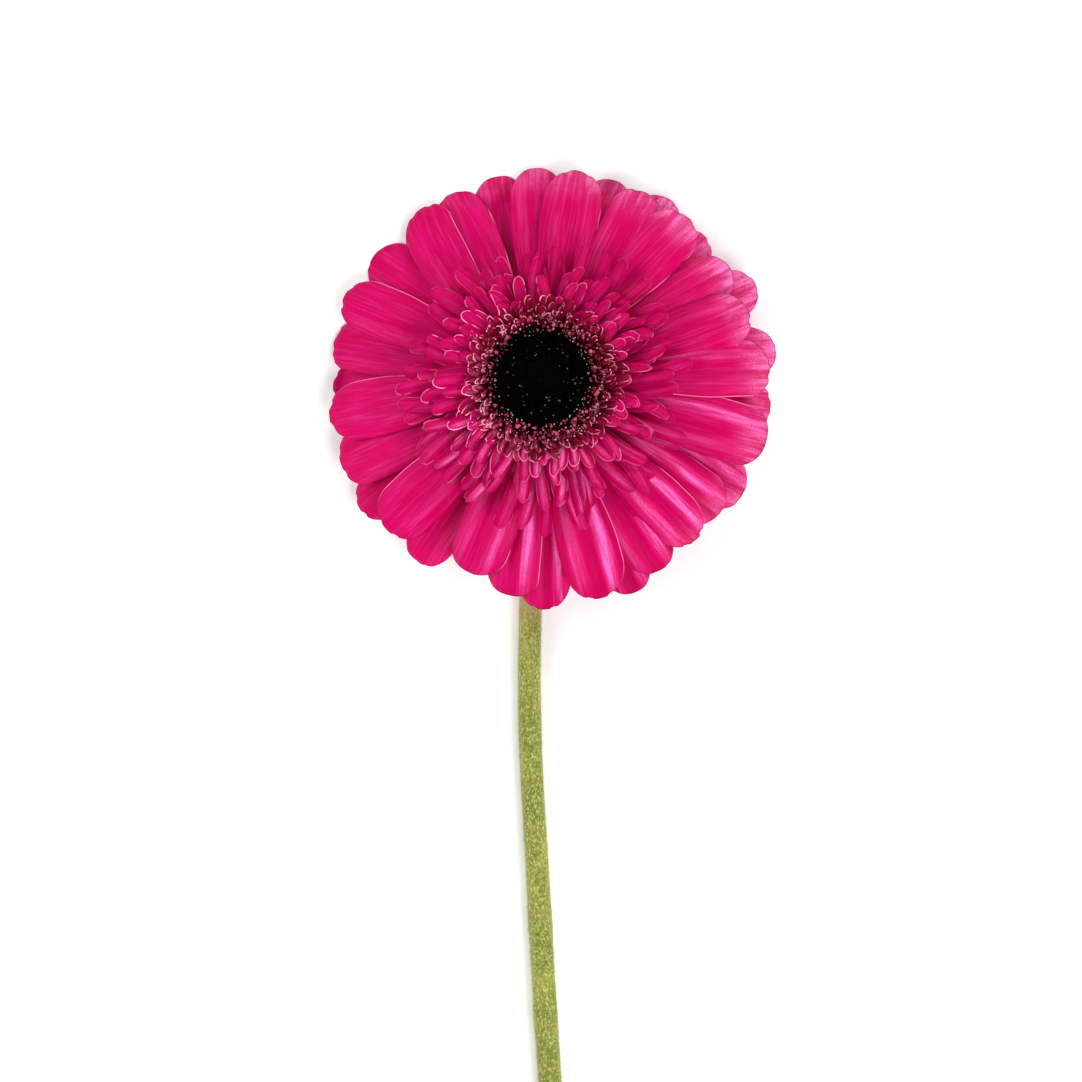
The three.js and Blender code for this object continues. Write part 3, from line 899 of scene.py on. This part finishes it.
def studGroup():  # small bodies on points that carry their own normal, size and turn
    group, geo, given = newGroup("Studs", {
        "Radius": "Float",
        "Stretch": "Float",
        "Material": "Material",
    })
    sizes = {"Segments": 6, "Rings": 5, "Radius": given["Radius"]}  # few faces, because there are so many
    stud = geo.add("GeometryNodeMeshUVSphere", sizes, "Mesh")
    longer = {"Geometry": stud, "Scale": geo.vector(1.0, 1.0, given["Stretch"])}
    stud = geo.add("GeometryNodeTransform", longer, "Geometry")
    _, _, z = pointPlace(geo)
    stud = store(geo, stud, "top", z / (given["Radius"] * given["Stretch"]) * 0.5 + 0.5)
    lean = geo.vector(named(geo, "leanX"), named(geo, "leanY"), 1.0)
    upright = geo.add("FunctionNodeAlignRotationToVector", {"Vector": lean}, "Rotation", axis="Z")
    size = named(geo, "size")
    studs = {"Points": given["Geometry"], "Instance": stud, "Rotation": upright, "Scale": size}
    studs = copyOnto(geo, studs)
    finishGroup(geo, ontoHead(geo, studs), given["Material"])
    return group


def growStuds(name, group, studs, radius, stretch, material):  # studs: (position, lean, size, tone), in mm
    points, leans, sizes, tonesAndShade = zip(*studs)
    thing = newObject(name, points)
    giveValues(thing.data, {
        "leanX": [lean.x for lean in leans],
        "leanY": [lean.y for lean in leans],
        "size": sizes,
        "tone": tonesAndShade,
    })
    return grow(thing, group, {"Radius": radius, "Stretch": stretch, "Material": material})


def makeBuds(group, material):
    chance = random.Random(disc["seed"])
    smallest, growth = disc["budSizes"]
    studs = []
    for index in range(disc["buds"]):
        share = math.sqrt((index + 0.5) / disc["buds"])
        radius = share * (disc["radius"] - disc["margin"])
        turn = index * goldenAngle
        out = Vector((math.cos(turn), math.sin(turn), 0))
        point = out * radius + Vector((0, 0, domeHeight(radius) - disc["budSunk"]))
        tilt = disc["budLean"] * share ** 3 + chance.uniform(*disc["leanSpread"])
        size = (smallest + growth * share) * chance.uniform(*disc["budSpread"])
        studs.append((point, out * tilt, size, chance.random()))
    return growStuds("disc_buds", group, studs, disc["budRadius"], disc["budStretch"], material)


tips = {  # rosy buds and pale tips among the dark ones. Bands: count, inner and outer radius, size
    "kinds": [
        {
            "name": "rose_buds",
            "slot": "rim_florets",
            "seed": 21,
            "bands": [(110, 11.2, 13.0, 0.3), (170, 12.4, 15.6, 0.4)],
            "finish": "Rosy buds",
            "colours": (colour(24, 0, 6), colour(112, 4, 34), colour(230, 92, 126)),
        },
        {
            "name": "pale_tips",
            "slot": "rim_florets",
            "seed": 22,
            "bands": [(200, 10.9, 13.4, 0.13), (170, 13.0, 17.0, 0.16)],
            "finish": "Pale tips",
            "colours": (colour(170, 60, 90), colour(244, 160, 170), colour(255, 222, 214)),
        },
        {
            "name": "faint_tips",
            "slot": "disc_florets",
            "seed": 23,
            "bands": [(60, 4.6, 9.8, 0.2)],
            "finish": "Faint tips",
            "colours": (colour(14, 6, 9), colour(52, 36, 40), colour(122, 110, 110)),
        },
    ],
    "middle": (0.5, -0.5),
    "rise": (0.0, 0.7),
    "spread": (0.45, 1.4),
    "stretch": 1.6,
    "lean": 0.6,
}


def budMaterial(name, foot, body, bright):  # darker at the foot of each bud, and no two alike
    material, shader = newMaterial(name)
    where = objectPlace(shader)
    spots = shader.noise(where, scale=420.0, detail=1.0)
    body = shader.mix(readAttribute(shader, "tone"), body, bright)
    body = shader.mix(readAttribute(shader, "top").smooth(0.3, 0.95), foot, body)
    finishMaterial(shader, {
        "Base Color": body,
        "Roughness": spots.smooth(0.3, 0.7, 0.5, 0.7),
        "Specular IOR Level": 0.2,
    })
    return material


def makeTips(kind, group):
    chance = random.Random(kind["seed"])
    middle = Vector((*tips["middle"], 0))
    studs = []
    for count, innerRadius, outerRadius, size in kind["bands"]:
        for index in range(count):
            radius = chance.uniform(innerRadius, outerRadius)
            turn = chance.uniform(0, 2 * math.pi)
            out = Vector((math.cos(turn), math.sin(turn), 0))
            height = domeHeight(radius) + chance.uniform(*tips["rise"])
            lean = Vector((chance.uniform(-1, 1), chance.uniform(-1, 1), 0)) * tips["lean"]
            point = middle + out * radius + Vector((0, 0, height))
            studs.append((point, lean, size * chance.uniform(*tips["spread"]), chance.random() ** 2))
    material = budMaterial(kind["finish"], *kind["colours"])
    return growStuds(kind["name"], group, studs, 1.0, tips["stretch"], material)


cup = {  # rows of scales: count, root radius, root height, rise, bend, shortest, longest, full width
    "outline": [
        (3.4, -13.0), (4.9, -12.8), (6.3, -12.1), (8.2, -10.6), (9.6, -9.2), (10.1, -7.2), (10.2, -4.9),
    ],
    "rows": [
        (18, 4.4, -12.6, 16, -40, 9.0, 10.0, 4.4),
        (20, 6.3, -10.9, 22, -40, 7.0, 8.0, 4.1),
        (20, 7.9, -9.3, 26, -38, 5.2, 6.0, 3.8),
    ],
    "seed": 34,
    "turn": (-0.08, 0.08),
    "roll": 7,
    "tipDepth": 0.5,
    "arch": -0.25,
    "thickness": 0.5,
    "form": {
        "Across": 7,
        "Along": 14,
        "Root Share": 0.8,
        "Widest At": 0.4,
        "Tip Power": 1.4,
        "Ruffle": 0.2,
        "Lowest": 1.0,
    },
    "scaleColours": (colour(98, 112, 44), colour(146, 156, 78)),
    "bodyColours": (colour(98, 112, 44), colour(126, 138, 62)),
    "tipColour": colour(122, 60, 62),
    "edgeColour": colour(196, 200, 140),
    "downColour": colour(230, 236, 200),
    "streaksPerMm": (2.2, 0.35),
}


def cupMaterial():
    material, shader = newMaterial("Green scale")
    flat = shader.xyz(readAttribute(shader, "petal", "Vector"))
    rimGap = readAttribute(shader, "rim")
    share = readAttribute(shader, "share")
    streaks = petalNoise(shader, flat, *cup["streaksPerMm"], 3.0)
    body = shader.mix(streaks.smooth(0.3, 0.7), *cup["scaleColours"])
    body = shader.mix(share.smooth(0.72, 1.0) * 0.7, body, cup["tipColour"])
    body = shader.mix((1 - rimGap.smooth(0.1, 0.4)) * 0.45, body, cup["edgeColour"])
    bump = shader.add("ShaderNodeBump", {"Strength": 0.6, "Distance": 0.15 * mm, "Height": streaks})
    finishMaterial(shader, {
        "Base Color": body,
        "Roughness": streaks.smooth(0.3, 0.7, 0.7, 0.55),
        "Normal": bump,
        "Sheen Weight": 0.3,
        "Sheen Roughness": 0.5,
        "Sheen Tint": cup["downColour"],
    })
    return material


def makeCup(group):
    chance = random.Random(cup["seed"])
    blades = []
    for order, row in enumerate(cup["rows"]):
        count, rootRadius, rootHeight, rise, bend, shortest, longest, width = row
        for index in range(count):
            turn = index + order / 2 + chance.uniform(*cup["turn"])
            blades.append({
                "azimuth": 2 * math.pi * turn / count,
                "length": chance.uniform(shortest, longest),
                "rise": math.radians(rise),
                "bend": math.radians(bend),
                "halfWidth": width / 2,
                "rootRadius": rootRadius,
                "rootHeight": rootHeight,
                "roll": math.radians(cup["roll"]),
                "tipDepth": cup["tipDepth"],
                "arch": cup["arch"],
                "seed": chance.random(),
                "tone": chance.random(),
            })
    values = {**cup["form"], "Material": cupMaterial()}
    return grow(bladePoints("cup_scales", blades), group, values, cup["thickness"])


stem = {  # the middle line on the surface as (x, y) from the head's centre, and the radii, in mm
    "line": [
        (0.4, -24), (-2.4, -42), (-3.4, -66), (-3.1, -90), (-1.7, -115), (0.4, -152), (2.6, -186),
        (4.4, -220.4),
    ],
    "radius": 2.75,
    "cutRadius": 2.9,
    "neckRadius": 3.4,
    "flareLength": 34,
    "solidSides": 12,
    "neckShare": 0.56,
    "gap": 0.3,
    "cutSlant": 32,
    "sides": 28,
    "drawnSteps": 40,
    "step": 1.0,
    "ribDepth": 0.16,
    "swellings": [(-47.0, 5.0, 0.16), (-69.8, 4.0, 0.14), (2.0, 6.0, 0.08)],  # (y, how long, how much)
    "rosyNeck": (22, 34, 36, 56),  # along Y: between which it sets in and fades
    "ribsPerMetre": (900, 14),
    "look": {
        "body": (colour(122, 130, 30), colour(152, 154, 56)),
        "down": colour(206, 212, 116),
        "pits": colour(92, 96, 10),
        "fibres": colour(208, 210, 132),
        "rosy": colour(196, 150, 120),
        "flesh": (colour(176, 178, 112), colour(222, 228, 180)),
        "fleshGrains": colour(196, 206, 140),
        "sheen": colour(238, 242, 206),
        "patchesPerMetre": 110.0,
        "grainsPerMetre": (2300, 1500),  # round the stem, and along it
        "fibresPerMetre": (1300, 320),
    },
}
restHeight = stem["radius"] * math.cos(math.pi / stem["solidSides"])  # the solid stem lies on a flat side


def bezierPoint(corners, share):
    rest = 1 - share
    weights = (rest ** 3, 3 * rest ** 2 * share, 3 * rest * share ** 2, share ** 3)
    return sum((corner * weight for corner, weight in zip(corners, weights)), Vector((0, 0, 0)))


def centripetal(points, steps):  # a smooth line through the points, as the solid stem has
    ends = [points[0] * 2 - points[1], *points, points[-1] * 2 - points[-2]]
    line = []
    for p0, p1, p2, p3 in zip(ends, ends[1:], ends[2:], ends[3:]):
        gaps = [max(math.sqrt((b - a).length), 1e-4) for a, b in ((p0, p1), (p1, p2), (p2, p3))]
        slopeIn = ((p1 - p0) / gaps[0] - (p2 - p0) / (gaps[0] + gaps[1]) + (p2 - p1) / gaps[1]) * gaps[1]
        slopeOut = ((p2 - p1) / gaps[1] - (p3 - p1) / (gaps[1] + gaps[2]) + (p3 - p2) / gaps[2]) * gaps[1]
        for step in range(steps):
            t = step / steps
            line.append(
                p1 * (2 * t ** 3 - 3 * t ** 2 + 1) + slopeIn * (t ** 3 - 2 * t ** 2 + t)
                + p2 * (3 * t ** 2 - 2 * t ** 3) + slopeOut * (t ** 3 - t ** 2)
            )
    return [*line, points[-1]]


def evenly(points, spacing):  # the same line with points at even steps
    travelled = [0.0]
    for before, after in zip(points, points[1:]):
        travelled.append(travelled[-1] + (after - before).length)
    count = max(2, round(travelled[-1] / spacing))
    result = []
    index = 0
    for step in range(count + 1):
        target = travelled[-1] * step / count
        while index < len(points) - 2 and travelled[index + 1] < target:
            index += 1
        share = (target - travelled[index]) / (travelled[index + 1] - travelled[index])
        result.append(points[index].lerp(points[index + 1], share))
    return result


def stemRoute():
    top = headCentre + facing * (cup["outline"][0][1] - stem["gap"])
    drop = (top.z - restHeight) / facing.z
    corner = top - facing * drop
    line = [Vector((headCentre.x + x, headCentre.y + y, restHeight)) for x, y in stem["line"]]
    neckEnd = corner + (line[0] - corner).normalized() * drop
    share = stem["neckShare"]
    corners = (top, top.lerp(corner, share), neckEnd.lerp(corner, share), neckEnd)
    neck = [bezierPoint(corners, step / stem["drawnSteps"]) for step in range(stem["drawnSteps"])]
    return evenly(neck + centripetal([neckEnd, *line], stem["drawnSteps"]), stem["step"])


def stemRadius(travelled, total, y):
    flare = 1 - smoothStep(travelled, 0, stem["flareLength"])
    thicker = smoothStep(travelled, stem["flareLength"], total)
    radius = stem["radius"] + (stem["neckRadius"] - stem["radius"]) * flare
    radius += (stem["cutRadius"] - stem["radius"]) * thicker
    for middle, length, rise in stem["swellings"]:
        radius += rise * math.exp(-(((y - middle) / length) ** 2))
    return radius


def stretched(maker, point, perMetre):  # where noise is read, at one rate round the stem and one along it
    x, y, z = point
    around, along = perMetre
    return maker.vector(x * around, y * along, z * around)


def stemMaterial(end):  # end: the middle of the cut face, where pale flesh shows inside a green skin
    material, shader = newMaterial("Downy stem")
    look = stem["look"]
    where = objectPlace(shader)
    x, y, z = shader.xyz(where)
    patches = shader.noise(where, scale=look["patchesPerMetre"], detail=3.0)
    grains = shader.noise(stretched(shader, (x, y, z), look["grainsPerMetre"]), detail=2.0)
    fibres = shader.noise(stretched(shader, (x, y, z), look["fibresPerMetre"]), detail=3.0)
    body = shader.mix(patches.smooth(0.38, 0.64), *look["body"])
    body = shader.mix(grains.smooth(0.5, 0.68) * 0.85, body, look["down"])
    body = shader.mix(grains.smooth(0.46, 0.3) * 0.7, body, look["pits"])
    body = shader.mix(fibres.smooth(0.52, 0.75) * 0.35, body, look["fibres"])
    neckStarts, neckFull, neckFades, neckEnds = [limit * mm for limit in stem["rosyNeck"]]
    rosy = y.smooth(neckStarts, neckFull) * y.smooth(neckFades, neckEnds, 1.0, 0.0)
    body = shader.mix(rosy * 0.5, body, look["rosy"])
    _, facingDown, _ = shader.xyz(shader.add("ShaderNodeNewGeometry", {}, "True Normal"))
    fromMiddle = ((x - end.x * mm) ** 2 + (z - end.z * mm) ** 2) ** 0.5 / (stem["cutRadius"] * mm)
    flesh = shader.mix(fromMiddle.smooth(0.2, 0.45), *look["flesh"])
    flesh = shader.mix(grains.smooth(0.4, 0.6) * 0.5, flesh, look["fleshGrains"])
    cut = facingDown.smooth(-0.5, -0.7) * fromMiddle.smooth(0.8, 0.9, 1.0, 0.0)
    body = shader.mix(cut, body, flesh)
    relief = fibres * 0.4 + grains * 0.6
    bump = shader.add("ShaderNodeBump", {"Strength": 0.8, "Distance": 0.2 * mm, "Height": relief})
    finishMaterial(shader, {
        "Base Color": body,
        "Roughness": fibres.smooth(0.3, 0.7, 0.75, 0.6),
        "Normal": bump,
        "Sheen Weight": 0.35,
        "Sheen Roughness": 0.5,
        "Sheen Tint": look["sheen"],
        "Subsurface Weight": 0.08,
        "Subsurface Radius": (0.5, 0.8, 0.2),
        "Subsurface Scale": 1.0 * mm,
    })
    return material


down = {  # the fine hairs on the stem, in mm. Their ways are added to each face's own.
    "count": 15000,
    "length": 0.75,
    "thickness": 0.035,
    "seed": 4,
    "from": 0.4,
    "lowest": 0.02,
    "ways": ((-0.8, -0.9, -0.5), (0.8, 0.9, 0.8)),
    "sizes": (0.6, 1.25),
    "colours": (colour(176, 178, 104), colour(222, 222, 168)),
}


def hairMaterial():
    material, shader = newMaterial("Stem down")
    where = objectPlace(shader)
    spots = shader.noise(where, scale=300.0, detail=2.0)
    body = shader.mix(spots.smooth(0.35, 0.65), *down["colours"])
    finishMaterial(shader, {"Base Color": body, "Roughness": spots.smooth(0.3, 0.7, 0.6, 0.75)})
    return material


def stemGroup():  # a ribbed tube along the line, flat where it lies, with its cut end slanted
    group, geo, given = newGroup("Stem", {
        "Sides": "Int",
        "Rib Depth": "Float",
        "Cut Lean": "Float",
        "Cut Starts": "Float",
        "Material": "Material",
    })
    route = geo.add("GeometryNodeMeshToCurve", {"Mesh": given["Geometry"]}, "Curve")
    sides = {"Resolution": given["Sides"], "Radius": 1.0}
    ring = geo.add("GeometryNodeCurvePrimitiveCircle", sides, "Curve")
    values = {"Curve": route, "Profile Curve": ring, "Scale": named(geo, "radius"), "Fill Caps": True}
    tube = geo.add("GeometryNodeCurveToMesh", values, "Mesh")
    x, y, z = pointPlace(geo)
    normal = geo.add("GeometryNodeInputNormal", {}, "Normal")
    ribs = geo.noise(stretched(geo, (x, y, z), stem["ribsPerMetre"]), detail=1.0) - 0.5
    offset = {"Vector": normal, "Scale": ribs * given["Rib Depth"] * mm}
    push = geo.add("ShaderNodeVectorMath", offset, "Vector", operation="SCALE")
    tube = geo.add("GeometryNodeSetPosition", {"Geometry": tube, "Offset": push}, "Geometry")
    x, y, z = pointPlace(geo)
    slant = y.smooth(given["Cut Starts"] + 1 * mm, given["Cut Starts"]) * (z - restHeight * mm)
    tube = place(geo, tube, geo.vector(x, y - slant * given["Cut Lean"], z))
    tube = keepAbove(geo, tube, 0.0)
    tube = geo.add("GeometryNodeRealizeInstances", {"Geometry": tube}, "Geometry")
    finishGroup(geo, tube, given["Material"])
    return group


def hairGroup():  # fine hairs on every face that the object has, kept off the surface below
    group, geo, given = newGroup("Down", {
        "Density": "Float",
        "Length": "Float",
        "Thickness": "Float",
        "Seed": "Int",
        "Material": "Material",
    })
    _, _, z = pointPlace(geo)
    heights = {"A": z, "B": down["from"] * mm}
    free = geo.add("FunctionNodeCompare", heights, "Result", operation="GREATER_THAN")
    points, normal = geo.add("GeometryNodeDistributePointsOnFaces", {
        "Mesh": given["Geometry"],
        "Selection": free,
        "Density": given["Density"],
        "Seed": given["Seed"],
    }, ("Points", "Normal"))
    hair = geo.add("GeometryNodeMeshCone", {
        "Vertices": 3,
        "Radius Top": 0.0,
        "Radius Bottom": given["Thickness"] * mm,
        "Depth": given["Length"] * mm,
    }, "Mesh", fill_type="NONE")
    least, most = down["ways"]
    ways = {"Min": least, "Max": most, "Seed": given["Seed"]}
    scatter = geo.add("FunctionNodeRandomValue", ways, "Value", data_type="FLOAT_VECTOR")
    way = geo.add("ShaderNodeVectorMath", {0: normal, 1: scatter}, "Vector", operation="ADD")
    turn = geo.add("FunctionNodeAlignRotationToVector", {"Vector": way}, "Rotation", axis="Z")
    smallest, largest = down["sizes"]
    sizes = {"Min": smallest, "Max": largest, "Seed": given["Seed"]}
    size = geo.add("FunctionNodeRandomValue", sizes, "Value", data_type="FLOAT")
    hairs = copyOnto(geo, {"Points": points, "Instance": hair, "Rotation": turn, "Scale": size})
    finishGroup(geo, keepAbove(geo, hairs, down["lowest"] * mm), given["Material"])
    return group


def makeStem():
    route = stemRoute()
    total = (len(route) - 1) * stem["step"]
    radii = [stemRadius(index * stem["step"], total, point.y) for index, point in enumerate(route)]
    vertices = [point * mm for point in route]
    edges = [(index, index + 1) for index in range(len(vertices) - 1)]
    thing = newObject("stem_skin", vertices, edges)
    giveValues(thing.data, {"radius": [radius * mm for radius in radii]})
    return grow(thing, stemGroup(), {
        "Sides": stem["sides"],
        "Rib Depth": stem["ribDepth"],
        "Cut Lean": math.tan(math.radians(stem["cutSlant"])),
        "Cut Starts": route[-1].y * mm,
        "Material": stemMaterial(route[-1]),
    })


def makeDown(skin):
    thing = bpy.data.objects.new("stem_down", skin.data.copy())
    bpy.context.scene.collection.objects.link(thing)
    area = sum(face.area for face in skin.data.polygons)
    return grow(thing, hairGroup(), {
        "Density": down["count"] / area,
        "Length": down["length"],
        "Thickness": down["thickness"],
        "Seed": down["seed"],
        "Material": hairMaterial(),
    })


def plainMaterial(name, colours, spotsPerMetre):
    material, shader = newMaterial(name)
    where = objectPlace(shader)
    spots = shader.noise(where, scale=spotsPerMetre, detail=2.0)
    body = shader.mix(spots.smooth(0.3, 0.7), *colours)
    finishMaterial(shader, {"Base Color": body, "Roughness": 0.7, "Specular IOR Level": 0.05})
    return material


receptacle = {  # the body under the florets, which carries them: (radius, height) from the cup to the disc
    "outline": [
        (9.8, -4.6), (12.6, -4.4), (13.1, -3.8), (13.1, -1.2), (12.7, -0.2), (12.6, 2.6), (13.9, 3.6),
        (14.3, 4.0), (14.1, 4.6), (12.4, 4.7),
    ],
    "colours": (colour(40, 0, 12), colour(66, 0, 22)),
}


def makeDome(material):
    radii = [disc["radius"] * (1 - step / disc["rings"]) for step in range(disc["rings"])]
    skin = [(radius, domeHeight(radius)) for radius in radii]
    return lathe("disc_dome", [(disc["radius"] - disc["margin"], disc["bottom"]), *skin], material)


studio = {  # the photograph's view from straight above, and soft lamps, the strongest at its lower right
    "viewCentre": (-2.6, 46.4),
    "viewHeight": 1.2,
    "frameWidth": 0.2597,
    "sensor": 36.0,
    "floorSize": 6.0,
    "floorColour": colour(251, 251, 251),
    "overhead": 0.06,
    "around": 0.5,
    "overheadFrom": (0.55, 0.95),
    "nearGlow": (0.22, 0.22, 0.22, 1.0),
    "farGlow": (0.8, 0.8, 0.8, 1.0),
    "glowGrows": (0.4, 1.6),
    "lamps": [
        ("Key", (0.42, -0.56, 0.85), 0.5, 6.6),
        ("Left", (-0.85, 0.1, 0.65), 0.8, 5.4),
        ("Right", (0.6, 0.7, 0.6), 0.6, 4.1),
    ],
}


def makeFloor():
    half = studio["floorSize"] / 2
    corners = [(-half, -half, 0), (half, -half, 0), (half, half, 0), (-half, half, 0)]
    floor = newObject("floor", corners, faces=[(0, 1, 2, 3)])
    material, shader = newMaterial("White table")
    x, y, _ = shader.xyz(objectPlace(shader))
    far = ((x * x + y * y) ** 0.5).smooth(*studio["glowGrows"])
    finishMaterial(shader, {
        "Base Color": studio["floorColour"],
        "Roughness": 0.8,
        "Emission Color": shader.mix(far, studio["nearGlow"], studio["farGlow"]),
        "Emission Strength": 1.0,
    })
    floor.data.materials.append(material)


def makeLight():
    world = bpy.data.worlds.new("Studio")
    bpy.context.scene.world = world
    world.use_nodes = True
    world.node_tree.nodes.clear()
    sky = Maker(world.node_tree)
    _, _, up = sky.xyz(sky.add("ShaderNodeTexCoord", {}, "Generated"))
    strength = up.smooth(*studio["overheadFrom"], studio["around"], studio["overhead"])
    strength = strength.atLeast(sky.add("ShaderNodeLightPath", {}, "Is Camera Ray"))
    light = sky.add("ShaderNodeBackground", {"Color": (1, 1, 1, 1), "Strength": strength}, "Background")
    sky.add("ShaderNodeOutputWorld", {"Surface": light})
    target = headCentre * mm
    for name, way, size, power in studio["lamps"]:
        lamp = bpy.data.lights.new(name, "AREA")
        lamp.size = size
        lamp.energy = power
        thing = bpy.data.objects.new(name, lamp)
        bpy.context.scene.collection.objects.link(thing)
        thing.location = target + Vector(way)
        thing.rotation_euler = Vector(way).to_track_quat("Z", "Y").to_euler()


def makeCamera():
    camera = bpy.data.cameras.new("Camera")
    camera.sensor_width = studio["sensor"]
    camera.lens = studio["sensor"] * studio["viewHeight"] / studio["frameWidth"]
    camera.clip_end = 20
    thing = bpy.data.objects.new("Camera", camera)
    bpy.context.scene.collection.objects.link(thing)
    x, y = studio["viewCentre"]
    thing.location = (x * mm, y * mm, headCentre.z * mm + studio["viewHeight"])  # unturned, it looks down
    bpy.context.scene.camera = thing
    bpy.context.scene.view_settings.view_transform = "Standard"


makeCamera()
makeLight()
makeFloor()

blades = bladeGroup()
handOver(makeRays(blades), "ray_florets", "ray_florets")
handOver(makeRows("inner_florets", "Inner petal", inner, blades), "trans_florets", "trans_florets")
handOver(makeRows("rim_spoons", "Rim petal", rim, blades), "rim_florets", "rim_florets")
studs = studGroup()
darkBuds = discMaterial()
handOver(makeBuds(studs, darkBuds), "disc_florets", "disc_florets")
handOver(makeDome(darkBuds), "disc_florets")
for kind in tips["kinds"]:
    handOver(makeTips(kind, studs), kind["slot"])
redFlesh = plainMaterial("Receptacle", receptacle["colours"], 300.0)
handOver(lathe("receptacle", receptacle["outline"], redFlesh), "involucre")
handOver(makeCup(blades), "involucre", "involucre")
greenFlesh = plainMaterial("Cup", cup["bodyColours"], 260.0)
handOver(lathe("cup_body", cup["outline"], greenFlesh), "involucre")
skin = makeStem()
handOver(skin, "stem", "stem")
handOver(makeDown(skin), "stem")
